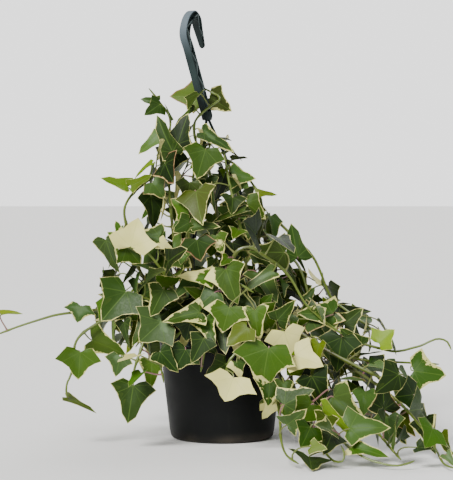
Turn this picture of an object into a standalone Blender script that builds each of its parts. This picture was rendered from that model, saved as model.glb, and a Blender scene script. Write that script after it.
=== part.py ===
"""Wax ivy in a hanging nursery pot: pot, soil, clip-on hanger and rooted vines, in metres, +Z up.

The origin is the centre of the pot's underside and -Y is the plant's front. Every vine is one
closed body that grew as one piece: its stem, and on each leaf slot a petiole and a blade.
The routes of the vines and the leaves that give the plant its outline are set by hand. The
other leaves follow a rule, and a leaf is only kept where it clears everything set before it.
"""

import math
import random

import bmesh
import bpy
import numpy as np
from mathutils import Vector
from mathutils.bvhtree import BVHTree
from mathutils.kdtree import KDTree

MM = 0.001
GAP = 0.3 * MM

# Pot, a Ø135 mm hanging pot
POT_HEIGHT = 108 * MM
POT_BASE_RADIUS = 51.5 * MM
POT_EDGE_ROUND = 4 * MM
POT_TOP_RADIUS = 64 * MM
POT_WALL = 1.5 * MM
POT_FLOOR = 2 * MM
RIM_RADIUS = 67.5 * MM
RIM_SKIRT = 10 * MM
POT_SIDES = 40
DRAIN_HOLES = 6
DRAIN_RADIUS = 4 * MM
DRAIN_CIRCLE = 37 * MM

# Soil
SOIL_TOP = 94 * MM
SOIL_DOME = 1.5 * MM
SOIL_SIDES = 36

# Hanger
HUB = (-15 * MM, 0.0, 321 * MM)
HUB_RADIUS = 5.5 * MM
HUB_HEIGHT = 9 * MM
LEG_AZIMUTHS = (0, 120, 240)
LEG_RADIUS = 1.4 * MM
LEG_BOW = 5 * MM
CLIP_WIDTH = 8 * MM
CLIP_WALL = 2 * MM
CLIP_GAP = 0.5 * MM
CLIP_DROP = 7 * MM
HOOK_YAW = math.radians(57)
SHAFT_TOP = (-37 * MM, 0.0, 402 * MM)
# The arch from the top of the shaft to the tip, as (along the arch, up) in mm
HOOK_ARCH = ((0, 0), (2.5, 11), (7.5, 18), (13.5, 21), (19, 17.5), (24, 7), (28, -2), (32, -11))
HOOK_TAPER = 0.55
HOOK_TAPER_LENGTH = 30 * MM
HOOK_STEP = 5.5 * MM
BEAM_HALF_WIDTH = 4.2 * MM
BEAM_HALF_DEPTH = 4 * MM
BEAM_FLANGE = 1.6 * MM
BEAM_WEB = 0.9 * MM

# Stems and leaves
STEM_BASE_RADIUS = 2.0 * MM
STEM_TIP_RADIUS = 0.9 * MM
ROUTE_STEP = 4 * MM
STEM_CLEAR = 2.0 * MM
RIM_CLEAR = 9.5 * MM
WALL_CLEAR = 3 * MM
SETTLE_ROUNDS = 70
LAST_ROUNDS = 25
SEARCH_RANGE = 12 * MM
OWN_STEPS = 7
PUSH_SHARE = 0.55
RING_SPACING = 9 * MM
SLOT_HALF = 2.2 * MM
SLOT_SPACING = 9 * MM
PETIOLE_RADIUS = 0.9 * MM
PETIOLE_LONGEST = 50 * MM
BLADE_HALF_THICKNESS = 0.6 * MM
TEST_SWELL = 0.45 * MM
FLOOR_CLEAR = 0.5 * MM
NODE_SPACING = 23 * MM
FILL_TRIES = 48
MOST_LEAVES = 390

# The space between the hanger's legs that no leaf grows into: its low and high corners in mm
CORE_LOW = (-25, -39, 141)
CORE_HIGH = (33, 11, 199)

# Half outline of a blade of unit length, from beside the petiole to the tip: the arrow-shaped
# leaf, and the ivy-shaped leaf with five lobes. A real blade lies between the two.
ARROW_HALF = ((0.26, -0.15), (0.56, -0.08), (0.27, 0.42))
LOBED_HALF = ((0.36, -0.18), (0.64, 0.30), (0.27, 0.56))
BLADE_MIDDLE = 0.35

# Direction that a blade's upper side looks in
FACING = {
    "front": (0.0, -1.0, 0.25),
    "front_up": (0.0, -0.7, 0.7),
    "up": (0.0, -0.35, 1.0),
    "front_left": (-0.7, -0.7, 0.2),
    "front_right": (0.7, -0.7, 0.2),
    "left": (-1.0, -0.25, 0.2),
    "right": (1.0, -0.25, 0.2),
    "back": (0.0, 1.0, 0.2),
}

# Vines: points in mm from the soil to the tip.
VINES = {
    "climber_top_left": ((-22, -12, 94), (-36, -28, 140), (-46, -32, 190), (-51, -28, 240),
                         (-54, -22, 285), (-51, -19, 316), (-61, -20, 333), (-72, -20, 347)),
    "climber_hook": ((4, 4, 94), (4, 16, 150), (-4, 20, 215), (-12, 16, 262), (-25, -8, 292),
                     (-27, -11, 314), (-14, -12, 328), (-2, 0, 338), (-12, 11, 346), (-27, 9, 353)),
    "climber_left_arc": ((-32, 6, 94), (-62, -6, 135), (-85, -20, 175), (-92, -28, 206),
                         (-96, -29, 224), (-93, -26, 236), (-84, -22, 247), (-66, -18, 262),
                         (-52, -6, 276), (-38, 8, 290)),
    "climber_right_arc": ((24, 2, 94), (38, -4, 145), (36, -14, 198), (42, -17, 216),
                          (40, -17, 230), (36, -14, 244), (22, -9, 264), (10, -5, 275),
                          (-3, 1, 281), (-15, 12, 290)),
    "climber_front_left": ((-14, -26, 94), (-26, -46, 150), (-32, -44, 200), (-26, -36, 245),
                           (-14, -26, 284), (-8, -20, 302)),
    "climber_front_right": ((14, -26, 94), (24, -50, 150), (20, -48, 200), (8, -36, 250),
                            (2, -24, 284)),
    "climber_back_left": ((-16, 20, 94), (-30, 44, 150), (-36, 48, 205), (-30, 38, 255),
                          (-26, 24, 302)),
    "climber_back_right": ((16, 22, 94), (32, 50, 150), (28, 52, 205), (12, 40, 255),
                           (-4, 26, 300)),
    "arch_right_outer": ((32, -4, 94), (48, -8, 145), (42, -13, 205), (46, -15, 221),
                         (58, -17, 213), (75, -21, 196), (89, -25, 182), (97, -28, 166),
                         (103, -30, 150), (109, -32, 139), (122, -38, 129), (145, -52, 112),
                         (162, -72, 93)),
    "arch_right_front": ((8, -34, 94), (4, -62, 140), (12, -73, 184), (27, -75, 192),
                         (40, -75, 184), (55, -73, 174), (66, -71, 162), (74, -70, 148),
                         (80, -72, 138), (95, -80, 124), (113, -94, 111)),
    "arch_right_inner": ((36, 10, 94), (52, 14, 150), (56, 10, 184), (71, 7, 178),
                         (79, 0, 166), (84, -9, 150), (88, -14, 135), (102, -25, 114),
                         (126, -32, 96)),
    "trail_right_main": ((26, -24, 94), (50, -48, 120), (72, -70, 112), (94, -85, 98),
                         (121, -100, 84), (147, -110, 72), (161, -118, 66), (172, -128, 55),
                         (183, -140, 41), (193, -155, 29), (205, -180, 13), (213, -198, 4)),
    "trail_right_floor": ((22, -36, 94), (38, -60, 118), (48, -78, 96), (57, -95, 68),
                          (75, -115, 55), (92, -140, 43), (105, -165, 25), (118, -182, 14),
                          (134, -193, 7), (155, -200, 4), (170, -198, 8)),
    "shoot_right_high": ((42, -12, 94), (68, -18, 117), (95, -30, 106), (124, -50, 101),
                         (152, -58, 94), (168, -60, 91), (182, -60, 94), (196, -60, 98),
                         (205, -60, 103), (216, -60, 102), (221, -62, 93)),
    "shoot_right_blunt": ((46, -10, 94), (70, -12, 116), (98, -22, 93), (134, -48, 82),
                          (174, -65, 81), (208, -72, 80)),
    "drop_front": ((12, -42, 94), (28, -68, 118), (42, -88, 92), (47, -98, 68),
                   (52, -108, 52), (54, -126, 36), (54, -155, 20), (58, -180, 10),
                   (68, -196, 5)),
    "drop_front_loop": ((32, -32, 94), (54, -56, 114), (62, -76, 88), (67, -92, 64),
                        (76, -120, 45), (85, -152, 27), (93, -180, 12), (102, -195, 6),
                        (109, -196, 10), (106, -188, 20)),
    "trail_right_far": ((36, -16, 94), (66, -32, 114), (86, -46, 100), (105, -58, 86),
                        (140, -86, 67), (166, -114, 48), (184, -146, 28), (192, -172, 14),
                        (196, -194, 5), (202, -212, 4)),
    "trail_right_low": ((42, 20, 94), (66, 30, 114), (90, 16, 90), (107, -22, 66),
                        (123, -62, 44), (140, -112, 27), (152, -158, 14), (160, -180, 6)),
    "runner_left": ((-42, -6, 94), (-66, -12, 119), (-94, -20, 129), (-121, -25, 129),
                    (-150, -30, 126), (-164, -32, 124), (-178, -34, 120), (-197, -36, 114),
                    (-216, -38, 107), (-224, -38, 104)),
    "drop_left_loop": ((-36, -22, 94), (-58, -36, 119), (-85, -48, 131), (-111, -55, 123),
                       (-125, -57, 115), (-136, -58, 107), (-142, -59, 97), (-143, -60, 82),
                       (-145, -60, 70), (-150, -62, 58), (-149, -62, 46)),
    "hang_left_front": ((-30, -30, 94), (-54, -50, 117), (-72, -68, 107), (-78, -75, 92),
                        (-83, -78, 77), (-86, -80, 62), (-88, -80, 48)),
    "hang_left": ((-40, 10, 94), (-66, 12, 116), (-84, 14, 106), (-94, 12, 86)),
    "spread_left_front": ((-24, -34, 94), (-50, -56, 126), (-76, -62, 144), (-98, -60, 146),
                          (-114, -52, 137)),
    "hang_front_left": ((-14, -42, 94), (-22, -68, 120), (-40, -83, 111), (-57, -88, 88),
                        (-55, -88, 64)),
    "hang_front_middle": ((-4, -42, 94), (-9, -70, 118), (-15, -84, 99), (-20, -86, 74)),
    "hang_front_right": ((4, -44, 94), (10, -72, 118), (21, -88, 106), (14, -94, 94),
                         (6, -96, 84), (4, -96, 72)),
    "spread_front": ((0, -30, 94), (0, -60, 132), (4, -78, 150), (15, -88, 158), (30, -92, 150)),
    "spread_front_left": ((-24, -22, 94), (-48, -50, 152), (-66, -58, 180), (-82, -56, 196)),
    "hang_right_front": ((36, -28, 94), (60, -54, 118), (80, -74, 102), (96, -88, 76),
                         (108, -94, 46)),
    "hang_right": ((46, 12, 94), (70, 20, 116), (92, 20, 94), (104, 14, 64), (108, 8, 34)),
    "hang_back_right": ((10, 40, 94), (18, 68, 118), (24, 86, 98), (26, 94, 66), (22, 94, 36)),
    "hang_back_left": ((-12, 40, 94), (-26, 66, 118), (-38, 84, 102), (-44, 90, 72),
                       (-40, 90, 44)),
    "hang_back_far_right": ((34, 28, 94), (56, 46, 116), (78, 60, 98), (88, 66, 66),
                            (88, 66, 36)),
    "hang_back_far_left": ((-30, 30, 94), (-56, 46, 116), (-76, 56, 104), (-90, 60, 84)),
    "spread_back_left": ((-30, 20, 94), (-56, 46, 130), (-76, 58, 152), (-94, 60, 142),
                         (-106, 52, 116)),
    "spread_back_right": ((26, 32, 94), (50, 56, 134), (72, 64, 157), (90, 62, 146),
                          (106, 54, 120)),
    "spread_back": ((0, 34, 94), (2, 62, 138), (-4, 76, 170), (-12, 78, 188), (-22, 74, 172)),
}

# Leaves that give the plant its outline: kind, facing, blade's foot in mm, aim (degrees
# clockwise from straight up, seen from the front), lean toward the front in degrees, length
# in mm and breadth.
OUTLINE_LEAVES = (
    # round the hook's foot
    ("green", "front_up", (-64, -22, 333), -76, 0, 17, 0.8),
    ("green", "front", (-61, -24, 331), -127, 25, 19, 1.1),
    ("grey", "right", (-51, -20, 317), -10, 0, 16, 0.6),
    ("lime", "front", (-24, 12, 341), -88, 0, 29, 1.15),
    ("pink", "front", (-12, 12, 340), 122, 0, 26, 1.1),
    ("green", "up", (-28, -16, 326), -121, 0, 24, 0.8),
    # left side of the cone
    ("green", "front_left", (-48, -32, 284), -27, 0, 40, 0.6),
    ("dark", "front", (-43, -30, 292), 17, 0, 32, 0.95),
    ("grey", "front_left", (-63, -25, 299), -127, 0, 26, 0.7),
    ("cream", "right", (-59, -34, 294), -175, 0, 20, 0.6),
    ("green", "front", (-16, -40, 286), -163, 5, 30, 1.15),
    ("grey", "front_up", (-18, -22, 303), 119, 5, 36, 0.6),
    ("cream", "front_right", (-21, -24, 306), 173, 0, 18, 0.5),
    ("grey", "front", (10, -14, 261), 95, 0, 24, 1.0),
    ("grey", "front", (18, -16, 257), -147, 5, 18, 1.1),
    ("lime", "front_up", (-93, -28, 250), -71, 0, 28, 0.75),
    ("lime", "front_up", (-89, -28, 251), 61, 0, 23, 0.6),
    ("lime", "up", (-69, -24, 273), -122, 5, 23, 0.6),
    ("dark", "front", (-49, -22, 284), -160, 5, 30, 1.0),
    ("grey", "front", (-68, -34, 254), 141, 5, 20, 1.2),
    ("dark", "front", (-70, -30, 241), 170, 5, 33, 1.0),
    ("green", "front_left", (-69, -26, 231), -135, 0, 17, 0.9),
    ("cream", "right", (-57, -42, 238), -177, 0, 22, 0.5),
    ("green", "front", (-32, -54, 227), -55, 0, 21, 1.2),
    ("olive", "front", (-31, -42, 254), -170, 5, 22, 1.1),
    ("dark", "front", (-16, -36, 257), 178, 5, 27, 0.9),
    ("green", "left", (-8, -46, 251), 180, 0, 28, 0.5),
    # right side of the cone
    ("lime", "up", (35, -18, 243), 87, 0, 20, 0.6),
    ("green", "up", (31, -18, 241), -100, 0, 17, 0.6),
    ("half", "front_up", (24, -28, 234), 127, 5, 25, 1.1),
    ("green", "up", (22, -52, 227), -106, 5, 34, 0.7),
    ("grey", "front", (24, -44, 218), 175, 5, 21, 1.0),
    ("green", "front", (-31, -60, 216), -122, 5, 19, 1.1),
    ("grey", "front_up", (-26, -60, 212), 86, 0, 25, 0.7),
    # upper front of the skirt
    ("cream", "front", (-88, -58, 192), 14, 0, 29, 1.4),
    ("green", "front", (-92, -52, 191), 139, 5, 22, 1.3),
    ("green", "front_left", (-113, -40, 198), 166, 0, 35, 0.9),
    ("half", "front", (-99, -36, 204), -21, 0, 14, 0.9),
    ("cream", "front_up", (-60, -58, 196), 120, 0, 16, 0.9),
    ("green", "front", (-24, -70, 199), 169, 10, 21, 1.5),
    ("half", "front", (-5, -68, 203), 162, 10, 19, 1.1),
    ("dark", "front", (10, -52, 196), 168, 5, 19, 1.4),
    ("half", "front_up", (4, -80, 172), 162, 10, 36, 1.05),
    ("grey", "front_up", (48, -82, 169), -118, 5, 34, 0.55),
    ("olive", "front", (60, -66, 187), -90, 0, 35, 0.95),
    ("green", "front", (74, -32, 181), -10, 0, 34, 0.8),
    # lower front of the skirt
    ("green", "front", (-92, -64, 149), -139, 10, 37, 1.2),
    ("green", "front", (-55, -88, 152), -153, 10, 28, 1.0),
    ("grey", "front", (-57, -86, 122), -132, 5, 29, 1.45),
    ("half", "front_up", (-21, -92, 131), -100, 5, 36, 0.85),
    ("grey", "front_up", (-7, -86, 149), -130, 5, 29, 0.9),
    ("half", "front", (7, -96, 136), -164, 10, 25, 1.45),
    ("lime", "front", (24, -100, 117), -130, 5, 26, 1.1),
    ("dark", "front", (-30, -84, 121), -167, 5, 18, 1.5),
    ("dark", "front", (-17, -102, 107), -153, 5, 26, 0.95),
    ("dark", "front", (-34, -90, 96), -151, 5, 22, 1.3),
    ("green", "front", (44, -108, 99), -168, 5, 37, 1.35),
    ("cream", "front", (59, -94, 113), 162, 5, 34, 1.05),
    ("cream", "front", (88, -100, 98), -125, 5, 24, 0.8),
    ("half", "front", (31, -98, 134), 175, 5, 30, 0.85),
    ("dark", "front", (-58, -88, 94), 138, 5, 26, 0.9),
    # left drop
    ("green", "back", (-126, -50, 101), 111, 0, 36, 0.9),
    ("green", "front", (-136, -66, 91), -176, 5, 27, 1.35),
    ("grey", "front_up", (-97, -72, 87), -165, 5, 20, 1.2),
    ("green", "front", (-84, -84, 61), -171, 5, 37, 1.0),
    ("half", "front", (-67, -68, 82), -176, 5, 28, 0.9),
    ("olive", "up", (-149, -62, 46), 113, 5, 32, 0.5),
    ("grey", "front", (-138, -30, 133), -166, 0, 17, 1.5),
    ("lime", "up", (-216, -36, 125), 77, 0, 21, 0.8),
    # in front of the pot
    ("cream", "front", (11, -106, 71), -160, 5, 24, 1.7),
    ("dark", "front", (4, -100, 82), -121, 0, 23, 1.1),
    ("half", "front", (14, -100, 85), 165, 5, 16, 1.1),
    ("half", "front", (44, -62, 47), 124, 0, 26, 1.0),
    ("cream", "front", (49, -58, 41), -144, 0, 18, 0.9),
    # right mass
    ("half", "front", (106, -72, 128), -87, 5, 34, 0.9),
    ("green", "front", (118, -62, 118), 50, 0, 24, 1.0),
    ("cream", "right", (137, -58, 110), 22, 0, 16, 0.7),
    ("grey", "front", (84, -22, 139), 32, 0, 15, 0.8),
    ("lime", "front_up", (151, -72, 100), 47, 0, 20, 1.3),
    ("dark", "front", (114, -90, 107), -170, 5, 34, 1.1),
    ("green", "front_up", (132, -86, 100), -52, 0, 27, 0.7),
    ("half", "front", (181, -96, 76), 97, 5, 31, 1.15),
    ("green", "front_up", (194, -84, 74), 98, 0, 15, 0.8),
    ("lime", "left", (91, -106, 102), -166, 5, 38, 0.45),
    ("dark", "front", (84, -114, 73), 153, 5, 38, 0.8),
    ("grey", "front", (103, -130, 56), 132, 5, 39, 0.9),
    ("lime", "front_up", (92, -146, 49), 131, 10, 40, 0.4),
    ("dark", "front", (150, -126, 44), -2, 0, 27, 1.0),
    ("grey", "front", (152, -136, 38), 174, 10, 25, 1.1),
    ("grey", "front", (135, -106, 58), -175, 5, 23, 1.0),
    ("olive", "front", (165, -120, 36), 140, 10, 24, 0.9),
    # on the surface at the right
    ("dark", "front", (186, -152, 34), 163, 15, 32, 0.85),
    ("cream", "right", (190, -160, 30), 16, 0, 16, 0.6),
    ("olive", "front", (199, -162, 26), 160, 10, 21, 0.8),
    ("green", "up", (78, -178, 8), 165, 80, 32, 1.1),
    ("half", "front_up", (116, -177, 17), 97, 20, 34, 0.6),
    ("grey", "front_up", (199, -188, 12), 140, 45, 16, 0.7),
)

# The plant's outline for an eye at arm's length in front of it, which the leaves that follow
# the rule keep inside. Sides: height, then the furthest left and right, in mm.
EYE = (4.5, -1600, 240)
SIDES = (
    (-20, 80, 230), (0, 70, 226), (17, -96, 212), (37, -104, 212), (57, -108, 222),
    (72, -136, 214), (87, -138, 192), (97, -134, 182), (112, -129, 168), (125, -130, 152),
    (137, -132, 142), (147, -126, 124), (162, -120, 104), (175, -124, 94), (187, -124, 87),
    (202, -118, 76), (217, -99, 62), (232, -97, 50), (245, -94, 41), (257, -80, 30),
    (267, -75, 16), (282, -82, 4), (297, -78, 12), (312, -69, -2), (325, -73, 4),
    (337, -78, 1), (349, -52, -14), (352, -40, -20),
)
# Hem: distance right of the middle, then the lowest that a leaf in front of the pot or beside
# it reaches, in mm
HEM = ((-140, 76), (-106, 76), (-100, 40), (-72, 40), (-66, 74), (-20, 80), (24, 72), (36, 40),
       (52, 12), (80, -20), (230, -20))
HEM_BACK_HALF_WIDTH = 46 * MM

# Stretches of the long shoots, in mm from the soil, that the rule leaves bare
BARE = {
    "climber_left_arc": (135, 215), "climber_right_arc": (130, 200),
    "arch_right_outer": (140, 250), "arch_right_inner": (100, 165),
    "arch_right_front": (150, 205), "shoot_right_high": (130, 400),
    "shoot_right_blunt": (150, 400), "trail_right_floor": (215, 400),
    "drop_front_loop": (225, 400), "runner_left": (85, 400), "drop_left_loop": (88, 400),
}

# Kinds of leaf and how often each comes among the leaves that follow the rule
KIND_SHARES = {"green": 40, "grey": 20, "half": 13, "cream": 8, "dark": 12, "olive": 5, "lime": 2}


def clear_scene():
    """Removes every object of the scene that Blender starts with."""
    for thing in list(bpy.data.objects):
        bpy.data.objects.remove(thing)


def unit(vector):
    """The vector, or each row of an array of vectors, at length one."""
    vector = np.asarray(vector, float)
    return vector / np.linalg.norm(vector, axis=-1, keepdims=True)


def across(vector, axis):
    """The part of a vector at right angles to a unit axis, at length one."""
    return unit(vector - np.dot(vector, axis) * axis)


def mix(first, second, share):
    """A point between two, at a share of the way."""
    return first * (1 - share) + second * share


# ---------------------------------------------------------------- shapes


def turned(profile, sides):
    """Vertices and faces of a profile of (radius, height) turned round Z. A radius of 0 is a pole."""
    angles = np.linspace(0, 2 * math.pi, sides, endpoint=False)
    verts, rings = [], []
    for radius, height in profile:
        start = len(verts)
        if radius == 0:
            verts.append((0.0, 0.0, height))
            rings.append([start] * sides)
            continue
        verts += [(radius * math.cos(a), radius * math.sin(a), height) for a in angles]
        rings.append(list(range(start, start + sides)))
    faces = []
    for low, high in zip(rings, rings[1:]):
        for k in range(sides):
            corners = (low[k], low[(k + 1) % sides], high[(k + 1) % sides], high[k])
            faces.append(tuple(dict.fromkeys(corners)))
    return verts, faces


def swept(points, outline, sideways, sizes=None):
    """Vertices and faces of an outline of (side, depth) carried along points, with both ends closed.

    The outline's side axis stays as near to the sideways vector as the path allows, and sizes
    scale the outline at each point."""
    points = np.asarray(points, float)
    sizes = np.ones(len(points)) if sizes is None else sizes
    tangents = unit(np.gradient(points, axis=0))
    verts = []
    for point, tangent, size in zip(points, tangents, sizes):
        side = across(np.asarray(sideways, float), tangent) * size
        depth = np.cross(tangent, side)
        verts += [tuple(point + side * a + depth * b) for a, b in outline]
    count = len(outline)
    faces = [tuple(range(count))[::-1]]
    for row in range(len(points) - 1):
        for k in range(count):
            after = (k + 1) % count
            low, high = row * count, (row + 1) * count
            faces.append((low + k, low + after, high + after, high + k))
    last = (len(points) - 1) * count
    faces.append(tuple(range(last, last + count)))
    return verts, faces


def tube_sides(rings):
    """The side faces of a four-sided tube whose rings follow one another."""
    return [
        (4 * r + k, 4 * r + (k + 1) % 4, 4 * r + 4 + (k + 1) % 4, 4 * r + 4 + k)
        for r in range(rings - 1) for k in range(4)
    ]


def circle_outline(radius, sides):
    """A round outline for swept."""
    angles = [2 * math.pi * k / sides for k in range(sides)]
    return [(radius * math.cos(a), radius * math.sin(a)) for a in angles]


def arc_points(centre, radius, start, end, count):
    """Points of an arc in the (radius, height) plane, angles in degrees."""
    angles = np.radians(np.linspace(start, end, count))
    return [(centre[0] + radius * math.cos(a), centre[1] + radius * math.sin(a)) for a in angles]


def smooth_route(points, step, upright_start=False):
    """Points at an even step along the Catmull-Rom curve through the given points.

    An upright start makes the curve leave its first point along Z."""
    knots = np.array(points, float)
    before = 2 * knots[0] - knots[1]
    if upright_start:
        before[:2] = knots[1, :2]
    knots = np.vstack([before, knots, 2 * knots[-1] - knots[-2]])
    share = np.linspace(0, 1, 16, endpoint=False)[:, None]
    curve = [
        0.5 * (2 * b + (c - a) * share + (2 * a - 5 * b + 4 * c - d) * share**2
               + (3 * b - a - 3 * c + d) * share**3)
        for a, b, c, d in zip(knots, knots[1:], knots[2:], knots[3:])
    ]
    curve = np.vstack([*curve, knots[-2:-1]])
    run = along(curve)
    even = np.linspace(0, run[-1], max(4, round(run[-1] / step)))
    return np.stack([np.interp(even, run, curve[:, k]) for k in range(3)], axis=1)


def along(points):
    """The distance run at each point of a path."""
    return np.concatenate([[0], np.cumsum(np.linalg.norm(np.diff(points, axis=0), axis=1))])


# ---------------------------------------------------------------- scene objects


def plastic(name, colour, roughness):
    """A plain Principled material."""
    material = bpy.data.materials.new(name)
    material.use_nodes = True
    shader = material.node_tree.nodes["Principled BSDF"]
    shader.inputs["Base Color"].default_value = (*colour, 1.0)
    shader.inputs["Roughness"].default_value = roughness
    shader.inputs["Metallic"].default_value = 0.0
    return material


def add_object(name, verts, faces, material):
    """A mesh object with outward faces and its own material, shaded smooth with sharp edges kept."""
    mesh = bpy.data.meshes.new(name)
    mesh.from_pydata([tuple(v) for v in verts], [], faces)
    work = bmesh.new()
    work.from_mesh(mesh)
    bmesh.ops.recalc_face_normals(work, faces=work.faces)
    work.to_mesh(mesh)
    work.free()
    mesh.shade_smooth()
    mesh.set_sharp_from_angle(angle=math.radians(35))
    mesh.materials.append(material)
    thing = bpy.data.objects.new(name, mesh)
    bpy.context.scene.collection.objects.link(thing)
    return thing


def boolean(target, tool, operation):
    """A Boolean of a hidden tool on the target."""
    tool.hide_render = True
    tool.display_type = "WIRE"
    modifier = target.modifiers.new(f"{operation}_{tool.name}", "BOOLEAN")
    modifier.operation = operation
    modifier.object = tool


# ---------------------------------------------------------------- pot and soil


def pot_inner_radius(height):
    """The inside radius of the pot's wall at a height."""
    slope = (POT_TOP_RADIUS - POT_BASE_RADIUS) / POT_HEIGHT
    return POT_BASE_RADIUS + slope * height - POT_WALL


def pot_profile():
    """The pot's wall from the middle of its underside, out and up to the rim, and back inside."""
    edge = (POT_BASE_RADIUS - POT_EDGE_ROUND, POT_EDGE_ROUND)
    under_rim = POT_HEIGHT - RIM_SKIRT
    wall_under_rim = pot_inner_radius(POT_HEIGHT - POT_WALL) + POT_WALL
    outside = [(0, 0), *arc_points(edge, POT_EDGE_ROUND, -90, -10, 4)]
    rim = [
        (wall_under_rim, POT_HEIGHT - POT_WALL),
        (RIM_RADIUS - POT_WALL, POT_HEIGHT - POT_WALL),
        (RIM_RADIUS - POT_WALL, under_rim),
        (RIM_RADIUS, under_rim),
        (RIM_RADIUS, POT_HEIGHT - 1 * MM),
        (RIM_RADIUS - 1 * MM, POT_HEIGHT),
    ]
    inside = [
        (pot_inner_radius(POT_HEIGHT), POT_HEIGHT),
        (pot_inner_radius(6 * MM), 6 * MM),
        (pot_inner_radius(0) - 4 * MM, POT_FLOOR),
        (0, POT_FLOOR),
    ]
    return outside + rim + inside


def build_pot():
    """The pot, with a ring of drain holes through its floor."""
    material = plastic("pot_black", (0.012, 0.013, 0.013), 0.42)
    pot = add_object("pot", *turned(pot_profile(), POT_SIDES), material)
    low, high = -POT_FLOOR, 2.5 * POT_FLOOR
    drill_profile = [(0, low), (DRAIN_RADIUS, low), (DRAIN_RADIUS, high), (0, high)]
    for k in range(DRAIN_HOLES):
        angle = 2 * math.pi * (k + 0.53) / DRAIN_HOLES
        drill = add_object(f"drain_drill_{k}", *turned(drill_profile, 12), material)
        drill.location = (DRAIN_CIRCLE * math.cos(angle), DRAIN_CIRCLE * math.sin(angle), 0)
        boolean(pot, drill, "DIFFERENCE")


def soil_profile():
    """The root ball, a gap inside the pot, with a low dome on top."""
    foot, edge = POT_FLOOR + GAP, SOIL_TOP - SOIL_DOME - GAP
    return [
        (0, foot),
        (pot_inner_radius(0) - 4.5 * MM, foot),
        (pot_inner_radius(6 * MM) - 2 * GAP, 6 * MM + GAP),
        (pot_inner_radius(edge) - 2 * GAP, edge),
        (0.6 * POT_BASE_RADIUS, edge + 0.8 * SOIL_DOME),
        (0, SOIL_TOP - GAP),
    ]


def build_soil():
    """The soil as one body, a gap under the stems that grow from it."""
    material = plastic("soil_brown", (0.045, 0.03, 0.02), 0.95)
    add_object("soil", *turned(soil_profile(), SOIL_SIDES), material)


# ---------------------------------------------------------------- hanger


def hook_direction():
    """The level direction in which the hook's arch crosses from the shaft to the tip."""
    return np.array((math.cos(HOOK_YAW), math.sin(HOOK_YAW), 0.0))


def hook_route():
    """The hanger's leaning shaft, then the arch over to the tip."""
    hub, top = np.array(HUB), np.array(SHAFT_TOP)
    shaft = [mix(hub, top, s) for s in np.linspace(0, 1, 7)[:-1]]
    arch = [top + (hook_direction() * out + np.array((0, 0, up))) * MM for out, up in HOOK_ARCH]
    return smooth_route(shaft + arch, HOOK_STEP)


def hook_sizes(route):
    """The beam's size at each point of the hook: full to the arch, then tapering to the tip."""
    run = along(route)
    return np.interp(run, (run[-1] - HOOK_TAPER_LENGTH, run[-1]), (1, HOOK_TAPER))


def leg_route(azimuth):
    """A leg from the hub to its clip on the rim, bowed a little outward."""
    angle = math.radians(azimuth)
    outward = np.array((math.cos(angle), math.sin(angle), 0.0))
    start = np.array(HUB)
    end = outward * (RIM_RADIUS - 2.5 * MM) + np.array((0, 0, POT_HEIGHT + 1.5 * MM))
    shares = np.linspace(0, 1, 13)
    return np.array([mix(start, end, s) + outward * LEG_BOW * math.sin(math.pi * s) for s in shares])


def beam_outline():
    """The I-shaped section of the hook, as (across the arch's plane, in its plane)."""
    wide, deep = BEAM_HALF_WIDTH, BEAM_HALF_DEPTH
    inner, web = deep - BEAM_FLANGE, BEAM_WEB
    right = [(wide, -deep), (wide, -inner), (web, -inner), (web, inner), (wide, inner), (wide, deep)]
    return right + [(-a, -b) for a, b in right]


def clip_outline():
    """The clip that snaps over the rim, as (outward, up) from the rim's outer top edge."""
    wall, room = CLIP_WALL, CLIP_GAP
    inside = pot_inner_radius(POT_HEIGHT - CLIP_DROP) - RIM_RADIUS - room
    barb = -RIM_SKIRT - room
    return [
        (inside - wall, -CLIP_DROP), (inside, -CLIP_DROP), (inside, room), (room, room),
        (room, barb), (-1 * MM, barb), (-1 * MM, barb - wall), (room + wall, barb - wall),
        (room + wall, room + wall), (inside - wall, room + wall),
    ]


def clip_shape(azimuth):
    """One clip, its outline drawn through its width."""
    angle = math.radians(azimuth)
    outward = np.array((math.cos(angle), math.sin(angle), 0.0))
    sideways = np.array((-math.sin(angle), math.cos(angle), 0.0))
    verts = []
    for side in (-CLIP_WIDTH / 2, CLIP_WIDTH / 2):
        for out, up in clip_outline():
            place = outward * (RIM_RADIUS + out) + sideways * side
            verts.append((place[0], place[1], POT_HEIGHT + up))
    count = len(clip_outline())
    faces = [tuple(range(count)), tuple(range(count, 2 * count))[::-1]]
    faces += [(k, (k + 1) % count, (k + 1) % count + count, k + count) for k in range(count)]
    return verts, faces


def build_hanger():
    """The clip-on hanger: hook, hub, three legs and their clips, moulded as one piece."""
    material = plastic("hanger_grey_green", (0.035, 0.055, 0.05), 0.4)
    plane_normal = np.cross((0, 0, 1), hook_direction())
    route = hook_route()
    hook = swept(route, beam_outline(), plane_normal, hook_sizes(route))
    hanger = add_object("hanger", *hook, material)
    hub_verts, hub_faces = turned(
        [(0, -HUB_HEIGHT / 2), (HUB_RADIUS * 0.8, -HUB_HEIGHT / 2), (HUB_RADIUS, 0),
         (HUB_RADIUS * 0.8, HUB_HEIGHT / 2), (0, HUB_HEIGHT / 2)], 12)
    hub = add_object("hub_form", hub_verts, hub_faces, material)
    hub.location = HUB
    boolean(hanger, hub, "UNION")
    for k, azimuth in enumerate(LEG_AZIMUTHS):
        leg = swept(leg_route(azimuth), circle_outline(LEG_RADIUS, 6), (0, 0, 1))
        boolean(hanger, add_object(f"leg_form_{k}", *leg, material), "UNION")
        boolean(hanger, add_object(f"clip_form_{k}", *clip_shape(azimuth), material), "UNION")


# ---------------------------------------------------------------- stems


def stem_radii(route):
    """The stem's radius at each point, thinner toward the tip."""
    run = along(route)
    return mix(STEM_BASE_RADIUS, STEM_TIP_RADIUS, run / run[-1])


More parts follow.
